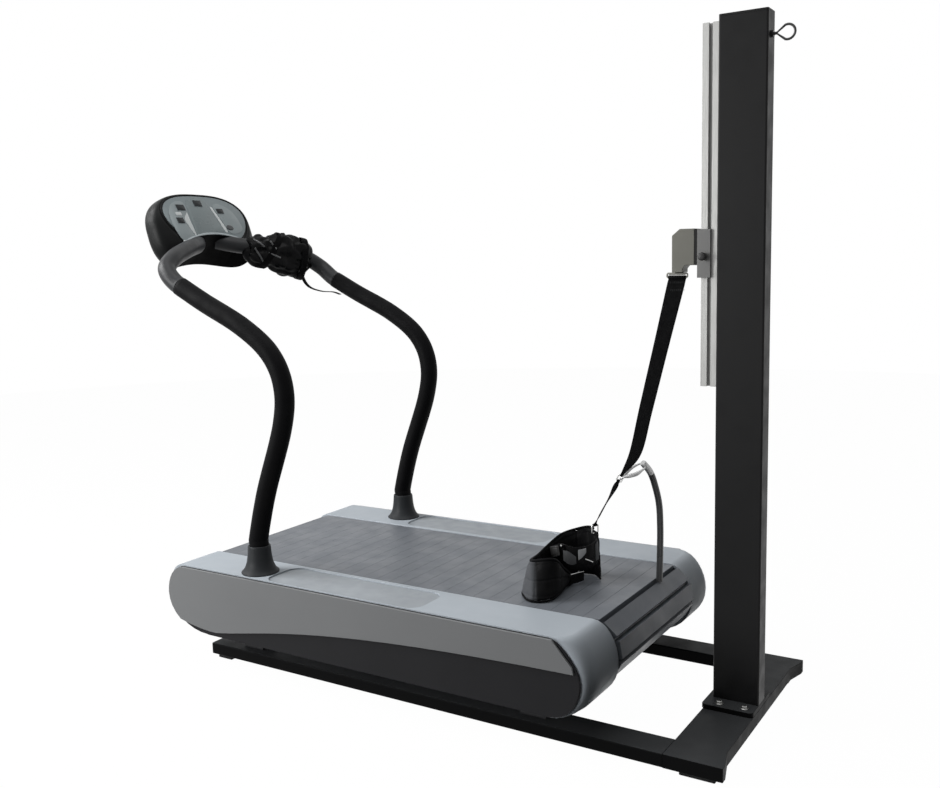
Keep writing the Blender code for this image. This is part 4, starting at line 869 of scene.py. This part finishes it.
for name, low, high, base in (
        ("one", (-0.125, 0.099), (-0.086, 0.123), MODULE_TOP), ("two", (-0.149, 0.045), (-0.117, 0.068), MODULE_TOP),
        ("three", (-0.033, 0.119), (0.006, 0.145), PLATE_TOP + 0.0008),
        ("four", (0.066, 0.091), (0.099, 0.112), MODULE_TOP)):
    frame_edge = rounded((low[0] - 0.002, low[1] - 0.002), (high[0] + 0.002, high[1] + 0.002), 0.004, 4)
    on_plate("display_frame_" + name, frame_edge, base, 0.0007, 0.0003, FACE)
    on_plate("display_" + name, rounded(low, high, 0.003, 4), base + 0.0007, 0.0008, 0.0004, SCREEN)
# The lip_glint is a pale patch at the lip's lower left: a painted highlight
for name, low, high, radius, thickness, edge in (
        ("light_bar", (-0.142, 0.077), (-0.114, 0.091), 0.004, 0.001, 0.0004),
        ("lip_glint", (-0.163, -0.033), (-0.14, -0.025), 0.003, 0.0006, 0.0003)):
    on_plate(name, rounded(low, high, radius, 4), MODULE_TOP, thickness, edge, LIGHT_BAR)
key = slab("key_cap", [on_face(u, v, -0.004) for u, v in key_oval(0)], face_normal, 0.01, 0.0022, KEY,
           "stop_button", 4)
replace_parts(key, "stop_key")

# Tower fittings: the plate that fills the strap eye's slot, and the clamp knob with its stem
keeper = rounded((0.7863, 1.2538), (0.8351, 1.2564), 0.0012, 4)
slab("eye_keeper", [(x, -0.0016, z) for x, z in keeper], (0, 1, 0), 0.0032, 0.0005, BRACKET, "carriage_body")
KNOB_PROFILE = metres([
    (0.4, 55.3), (7.2, 55.3), (9.2, 54.5), (10.6, 52.3), (11, 50.3), (11, 40.3), (10.4, 38.3), (9.5, 36.3),
    (6.8, 33.6), (6.5, 33.3), (3, 33.3), (3, 23.1), (0.4, 23.1)])
knob = lathe("clamp_knob_grip", KNOB_PROFILE, (RAIL_X - 0.0122, 0, CARRIAGE_HEIGHT - 0.008), (0, -1, 0), KNOB,
             "knob_body", 96, 40, lobes=12, depth=0.05)
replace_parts(knob, "clamp_knob")

# Junction ring and the tether strap between it and the strap eye
ring_up = Vector((0.5, 0, 0.8660254))
ring_bar = Vector((0.8660254, 0, -0.5))
ring_centre = behind(-0.119, 0, 0.33)
ring_flat = rounded((-0.008, -0.0105), (0.008, 0.0105), 0.003)
ring = sweep("junction_ring", [ring_centre + ring_bar * u + ring_up * v for u, v in ring_flat], RING_WIRE, CHROME,
             16, True)
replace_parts(ring, "strap_ring")
ring_top = ring_centre + ring_up * 0.0105
ring_low = ring_centre - ring_up * 0.0105
sewn = ring_bar * 0.0045
top_bar = Vector((0.8107, 0, 1.248))
strap_top = top_bar - UP * 0.0038
half_strap = Vector((0.0255, 0, 0))
run = ring_centre + Vector((0.041, 0, 0.05)) - strap_top
square = Vector((-run.z, 0, run.x)).normalized()
strap_edges = [pair(strap_top, half_strap)]
for share, reach in ((0.06, 0.025), (0.35, 0.0225), (0.7, 0.0205), (0.94, 0.018)):
    strap_edges.append(pair(strap_top + run * share, square * reach))
strap_end = ring_top + ring_up * 0.0032
strap_edges.append(pair(strap_end, sewn))
strap = web("tether_webbing", strap_edges, 0.0024, WEB, None, steps=14, columns=10)
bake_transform(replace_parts(strap, "tether_strap"))
sleeve("strap_loop_top", top_bar, half_strap, 0.0052, 0.0028, "carriage_body")
sleeve("strap_loop_low", ring_top, sewn, 0.0046, 0.0023)
for k, drop in enumerate((0.0085, 0.0115, 0.03, 0.033)):
    middle = strap_top + Vector((0, -0.0012, -drop))
    half_row = Vector((0.0225, 0, 0))
    stitches("strap_stitch_" + str(k), middle - half_row, middle + half_row, Vector((0, -1, 0)), "carriage_body")

# Lower tether from the ring to the buckle in the belt's rim, turning on its way
buckle_out = Vector((0.35, 0.937, 0)).normalized()
buckle_centre = behind(-0.2295, 0.0606, 0.1485)
buckle_flat = rounded((-0.0135, -0.0125), (0.0135, 0.0125), 0.004)
buckle_path = [buckle_centre + buckle_out * u + UP * v for u, v in buckle_flat]
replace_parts(sweep("belt_loop_buckle", buckle_path, RING_WIRE, CHROME, sides=16, closed=True), "belt_buckle")
buckle_top = buckle_centre + UP * 0.0125
tail_top = ring_low - ring_up * 0.0032
tail_end = buckle_top + UP * 0.0032
half_twist = Vector((0.248, -0.838, -0.486))
tail_edges = []
for share, reach, first, second in (
        (0, 0.0045, 0, 0), (0.12, 0.0075, 0.1, 0), (0.45, 0.008, 1, 0), (0.8, 0.008, 1, 0),
        (1, 0.007, 1, 1)):
    facing = ((ring_bar * (1 - first) + half_twist * first) * (1 - second) - buckle_out * second).normalized()
    tail_edges.append(pair(tail_top.lerp(tail_end, share), facing * reach))
tail = web("lower_tether", tail_edges, 0.0022, WEB)
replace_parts(tail, "tether_tail")
sleeve("tail_loop_top", ring_low, sewn, 0.0046, 0.0023)
sleeve("tail_loop_low", buckle_top, buckle_out * 0.0075, 0.0046, 0.0023)

# Guide rod with its sleeve and bright ferrule, and the snap hook at its tip
ROD_ROUTE = metres([
    (-44, 122, -6.7), (-42, 122, 91), (-41, 120, 167), (-41, 110, 238), (-47, 90, 301), (-54, 70, 342),
    (-66, 44, 373)])
FERRULE_STEPS = 13
rod_path = smooth_path([behind(*spot) for spot in ROD_ROUTE], 12, UP)
hook_far = behind(-0.063, 0.05, 0.366)
hook_near = ring_centre + Vector((0.0009, 0, -0.0028))
hook_mid = (hook_far + hook_near) / 2
hook_long = (hook_far - hook_near).normalized()
hook_side = (Vector((0, 1, 0)) - hook_long * hook_long.y).normalized()
hook_over = hook_long.cross(hook_side)
hook_reach = (hook_far - hook_near).length / 2
corners = rounded((-hook_reach, -0.013), (hook_reach, 0.013), 0.0129, 8)
hook_flat = []
for (u0, v0), (u1, v1) in zip(corners, corners[1:] + corners[:1]):
    steps = 10 if abs(u1 - u0) > 0.01 else 1
    hook_flat += [(u0 + (u1 - u0) * k / steps, v0 + (v1 - v0) * k / steps) for k in range(steps)]
hook_path, hook_radii = [], []
for u, v in hook_flat:
    share = (u + hook_reach) / (2 * hook_reach)
    twist = radians(np.interp(share, (0, 0.15, 0.6, 1), (0, 8, 68, 45)))
    hook_path.append(hook_mid + hook_long * u + (hook_side * cos(twist) + hook_over * sin(twist)) * v)
    swell = np.interp(share, (0, 0.1, 0.25, 0.6, 0.85, 1), (0, 0, 0.9, 1, 0.1, 0))
    hook_radii.append(HOOK_WIRE + 0.0034 * swell * (1 if v < 0 else 0.6))
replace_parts(sweep("snap_hook_wire", hook_path, hook_radii, FERRULE, sides=18, closed=True), "snap_hook")
split = len(rod_path) - FERRULE_STEPS
hose = sweep("rod_hose", rod_path[:split + 1], 0.0098, HOSE, 32)
ferrule_path = rod_path[split - 2:]
ferrule_radii = [0.0098] + [0.01] * (len(ferrule_path) - 3) + [0.0098, 0.0085]
ferrule = sweep("rod_ferrule", ferrule_path, ferrule_radii, FERRULE, 32)
carved(ferrule, swept(hook_path, [r + GAP for r in hook_radii], 18, True), 40)
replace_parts(hose, "guide_rod")

# Waist belt: padded band, sewn channels, bound edges, closing strap and its fittings
# Each row has the rim's x, y and z and the foot's x and y
WAIST = metres([
    (-215, 50, 145, -200, 35), (-256, 80, 149, -236, 70), (-296, 70, 140, -286, 60), (-333, 36, 126, -322, 26),
    (-346, -25, 106, -340, -35), (-344, -95, 94, -348, -105), (-332, -162, 98, -352, -180),
    (-306, -196, 107, -298, -243), (-270, -206, 118, -250, -227), (-241, -185, 116, -244, -169),
    (-250, -119, 75, -261, -80), (-250, -72, 42, -272, -20)])
CHANNEL_ROWS = (0.14, 0.5, 0.86)
CHANNEL_PITCH = 0.085
rims = [behind(*row[:3]) for row in WAIST]
feet = [Vector((BODY_REAR + row[3], row[4], SLAT_TOP + 0.0024)) for row in WAIST]
verts, faces, _, waist_samples = banded(list(zip(rims, feet)), 0.0095, 8, 16)
belt_pad = inflated(place("waist_belt_pad", verts, faces, PADDING, None), 0.0028, lowest=SLAT_TOP + 0.0005)
nearest = KDTree(len(waist_samples))
for i, sample in enumerate(waist_samples):
    nearest.insert(sample[0], i)
nearest.balance()
for v, normal in [(v, v.normal.copy()) for v in belt_pad.data.vertices]:
    _, share, along_belt = waist_samples[nearest.find(v.co)[1]]
    sink = sum(0.0013 * exp(-((share - row) / 0.022) ** 2) for row in CHANNEL_ROWS)
    sink += 0.0016 * exp(-(((along_belt + 0.03) % CHANNEL_PITCH - CHANNEL_PITCH / 2) / 0.0035) ** 2)
    sink += 0.0007 * noise.noise(v.co * 45)
    v.co -= normal * sink
    v.co.z = max(v.co.z, SLAT_TOP + 0.0004)
carved(belt_pad, swept(buckle_path, RING_WIRE + 2 * GAP, 16, True), 70)
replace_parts(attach(belt_pad, "base"), "waist_belt")
sweep("waist_binding_top", [p - UP * 0.0016 for p in smooth_path(rims, 10)[6:]], 0.0042, WEB, 14)
sweep("waist_binding_low", smooth_path([foot + UP * 0.0022 for foot in feet], 10), 0.003, WEB)

closing_edges = band_edges([
    (-344, -12, 98, -344, -12, 48), (-292, -50, 122, -290, -50, 62), (-252, -35, 112, -252, -30, 40),
    (-222, 4, 113, -222, 6, 36), (-214, 38, 125, -210, 36, 50), (-221, 55, 126, -214, 48, 55)])
closing_left, closing_right = (smooth_path(points, 10) for points in zip(*closing_edges))
web("waist_closing_strap", closing_edges, 0.0034, SHINY, columns=10, ripple=0.0012, seed=3)


def on_closing(t, share, out):
    """A point on the closing strap: t along it from 0 to 1, share down it, and out towards the wearer's front."""
    count = len(closing_left) - 1
    i = min(int(t * count), count - 1)
    a = closing_left[i].lerp(closing_left[i + 1], t * count - i)
    b = closing_right[i].lerp(closing_right[i + 1], t * count - i)
    along = (closing_left[i + 1] - closing_left[i]).normalized()
    return a.lerp(b, share) + (b - a).normalized().cross(along) * out


# Patches sewn on the closing strap, by (t, upper share, lower share)
for name, finish, spans in (
        ("grey", PATCH, [(0.24, 0.3, 0.8), (0.3, 0.25, 0.85), (0.36, 0.3, 0.8), (0.41, 0.4, 0.7)]),
        ("pale", RETRO, [(0.44, 0.1, 0.55), (0.49, 0.08, 0.42), (0.54, 0.06, 0.26)]),
        ("side", PATCH, [(0.72, 0.12, 0.8), (0.78, 0.1, 0.84), (0.85, 0.1, 0.86)])):
    edges = [(on_closing(t, a, 0.003), on_closing(t, b, 0.003)) for t, a, b in spans]
    web("closing_patch_" + name, edges, 0.0012, finish, steps=4, columns=5)
bar_path = [on_closing(t, s, 0.0046) for t, s in ((0.52, 0.5), (0.58, 0.6), (0.64, 0.72))]
sweep("closing_bar", smooth_path(bar_path, 6), 0.002, CHROME)
tab = band_edges([(-252, -66, 34, -255, -64, 4), (-243, -36, 33, -246, -33, 2), (-236, -6, 30, -239, -2, 2)])
web("waist_strap_tab", tab, 0.0026, WEB, steps=6)
sweep("tab_bar", smooth_path([high + UP * 0.0016 for high, _ in tab], 6), 0.0014, CHROME)
clip_spot = on_closing(0.13, 0.38, 0.0085)
clip_along = (on_closing(0.18, 0.38, 0) - on_closing(0.08, 0.38, 0)).normalized()
clip_out = (on_closing(0.13, 0.38, 0.01) - on_closing(0.13, 0.38, 0)).normalized()
clip_up = clip_out.cross(clip_along)
for name, low, high, base, thick in (
        ("closing_clip", (-0.021, -0.016), (0.021, 0.016), -0.0055, 0.01),
        ("closing_clip_tongue", (-0.01, -0.009), (0.029, 0.009), 0.0046, 0.0022)):
    slab(name, [clip_spot + clip_along * u + clip_up * v + clip_out * base for u, v in rounded(low, high, 0.005, 5)],
         clip_out, thick, 0.0012, KNOB, steps=3)
SNAP_CAP = metres([(4.2, 0), (4.2, 0.8), (3.4, 1.8), (1.6, 2.2), (0.3, 2.2)])
lathe("closing_snap", SNAP_CAP, on_closing(0.215, 0.1, 0.0022), clip_out, CHROME, sides=28)

# Spare harness over the far arm: a slack padded bundle with folds, straps round it and a hanging loop
BUNDLE_HALVES = (0.12, 0.09, 0.055)
BUNDLE_POWER = 2.3
hang = Vector((-0.43, -0.86, 0.265)).normalized()
lift_way = (UP - hang * hang.z).normalized()
side_way = hang.cross(lift_way)
bundle_turn = Matrix((hang, lift_way, side_way)).transposed()
far_top = Vector((HANDRAIL_X - 0.285, HANDRAIL_Y, DECK_TOP + 0.91))
far_end = console_centre + Vector(ARM_FOOT)
bundle_centre = far_top.lerp(far_end, 0.4) + Vector((-0.021, 0.001, 0.04))
lobe_centre = bundle_centre + bundle_turn @ Vector((0.105, -0.012, -0.002))
lobes = []
for name, centre, halves in (
        ("harness_bundle", bundle_centre, BUNDLE_HALVES), ("harness_lobe", lobe_centre, (0.072, 0.074, 0.044))):
    lobe = superball(name, centre, halves, bundle_turn, BUNDLE_POWER, SHINY, 26)
    for v in lobe.data.vertices:
        local = bundle_turn.transposed() @ (v.co - centre)
        fold = noise.noise(Vector((local.x * 9, local.y * 26, local.z * 26 + 4)))
        ripple = noise.noise(Vector((local.x * 24 + 7, local.y * 16, local.z * 40)))
        deep = 0.016 * (1 - abs(fold)) ** 4 + 0.005 * (1 - abs(ripple)) ** 3
        local.y *= 1 - 0.25 * max(0, local.x / halves[0]) ** 2
        toward = (bundle_turn @ local).normalized()
        v.co = centre + bundle_turn @ local - toward * deep
    lobes.append(lobe)
bundle, lobe = lobes
bm = bmesh.new()
bm.from_mesh(bundle.data)
bm.from_mesh(lobe.data)
bm.to_mesh(bundle.data)
bm.free()
bpy.data.objects.remove(lobe)
inflated(bundle, 0.003, 3)
bundle_surface = BVHTree.FromPolygons([v.co for v in bundle.data.vertices],
                                      [p.vertices for p in bundle.data.polygons])
carved(bundle, swept(arm_routes["far"], ARM_RADIUS + 0.0007, 40), 70)
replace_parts(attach(bundle, "base"), "hung_harness")

# Pale streaks laid on the side of the bundle that faces the tower: painted highlights on the coated cloth's folds
for k, ends in enumerate((
        ((0.145, 0.023), (0.104, 0.003)), ((0.137, -0.01), (0.079, -0.062)), ((0.081, -0.014), (0.034, -0.022)),
        ((0.083, 0.031), (0.056, 0.006)))):
    path = []
    for a, b in np.linspace(ends[0], ends[1], 7):
        start = bundle_centre + bundle_turn @ Vector((a, b, -0.3))
        spot = bundle_surface.ray_cast(start, side_way)[0]
        if spot:
            path.append(spot - side_way * 0.0006)
    sweep("harness_highlight_streak_" + str(k), smooth_path(path, 4), 0.0034, HARNESS_HIGHLIGHT, 14)


def power_wave(value):
    """Cosine or sine bent to the bundle's boxy section."""
    return copysign(abs(value) ** 0.87, value)


half_web = Vector((0.0125, 0, 0))
for k, (along_x, lean_by) in enumerate(((-0.062, 0.1), (0.064, -0.3))):
    squeeze = (1 - abs(along_x / BUNDLE_HALVES[0]) ** BUNDLE_POWER) ** (1 / BUNDLE_POWER)
    taper = 1 - 0.25 * max(0, along_x / BUNDLE_HALVES[0]) ** 2
    edges = []
    for t in angles(36):
        y = BUNDLE_HALVES[1] * squeeze * power_wave(cos(t)) * taper
        z = BUNDLE_HALVES[2] * squeeze * power_wave(sin(t))
        spot = Vector((along_x + lean_by * y, y, z)) - Vector((0, y, z)).normalized() * 0.0014
        edges.append(tuple(bundle_centre + bundle_turn @ edge for edge in pair(spot, half_web)))
    edges.append(edges[0])
    web("harness_strap_" + str(k), edges, 0.0022, WEB, steps=2, ripple=0.0008, seed=float(k))
LOOP = metres([
    (-149, -133, 186), (-145, -95, 140), (-135, -50, 75), (-145, -33, 17), (-122, -23, -23), (-67, -17, -41),
    (-12, -10, -45), (18, -6, -54)])
half_loop = Vector((0, 0.0098, 0))
loop_edges = [pair(far_top + Vector(p), half_loop) for p in LOOP]
web("harness_loop", loop_edges, 0.0032, WEB)
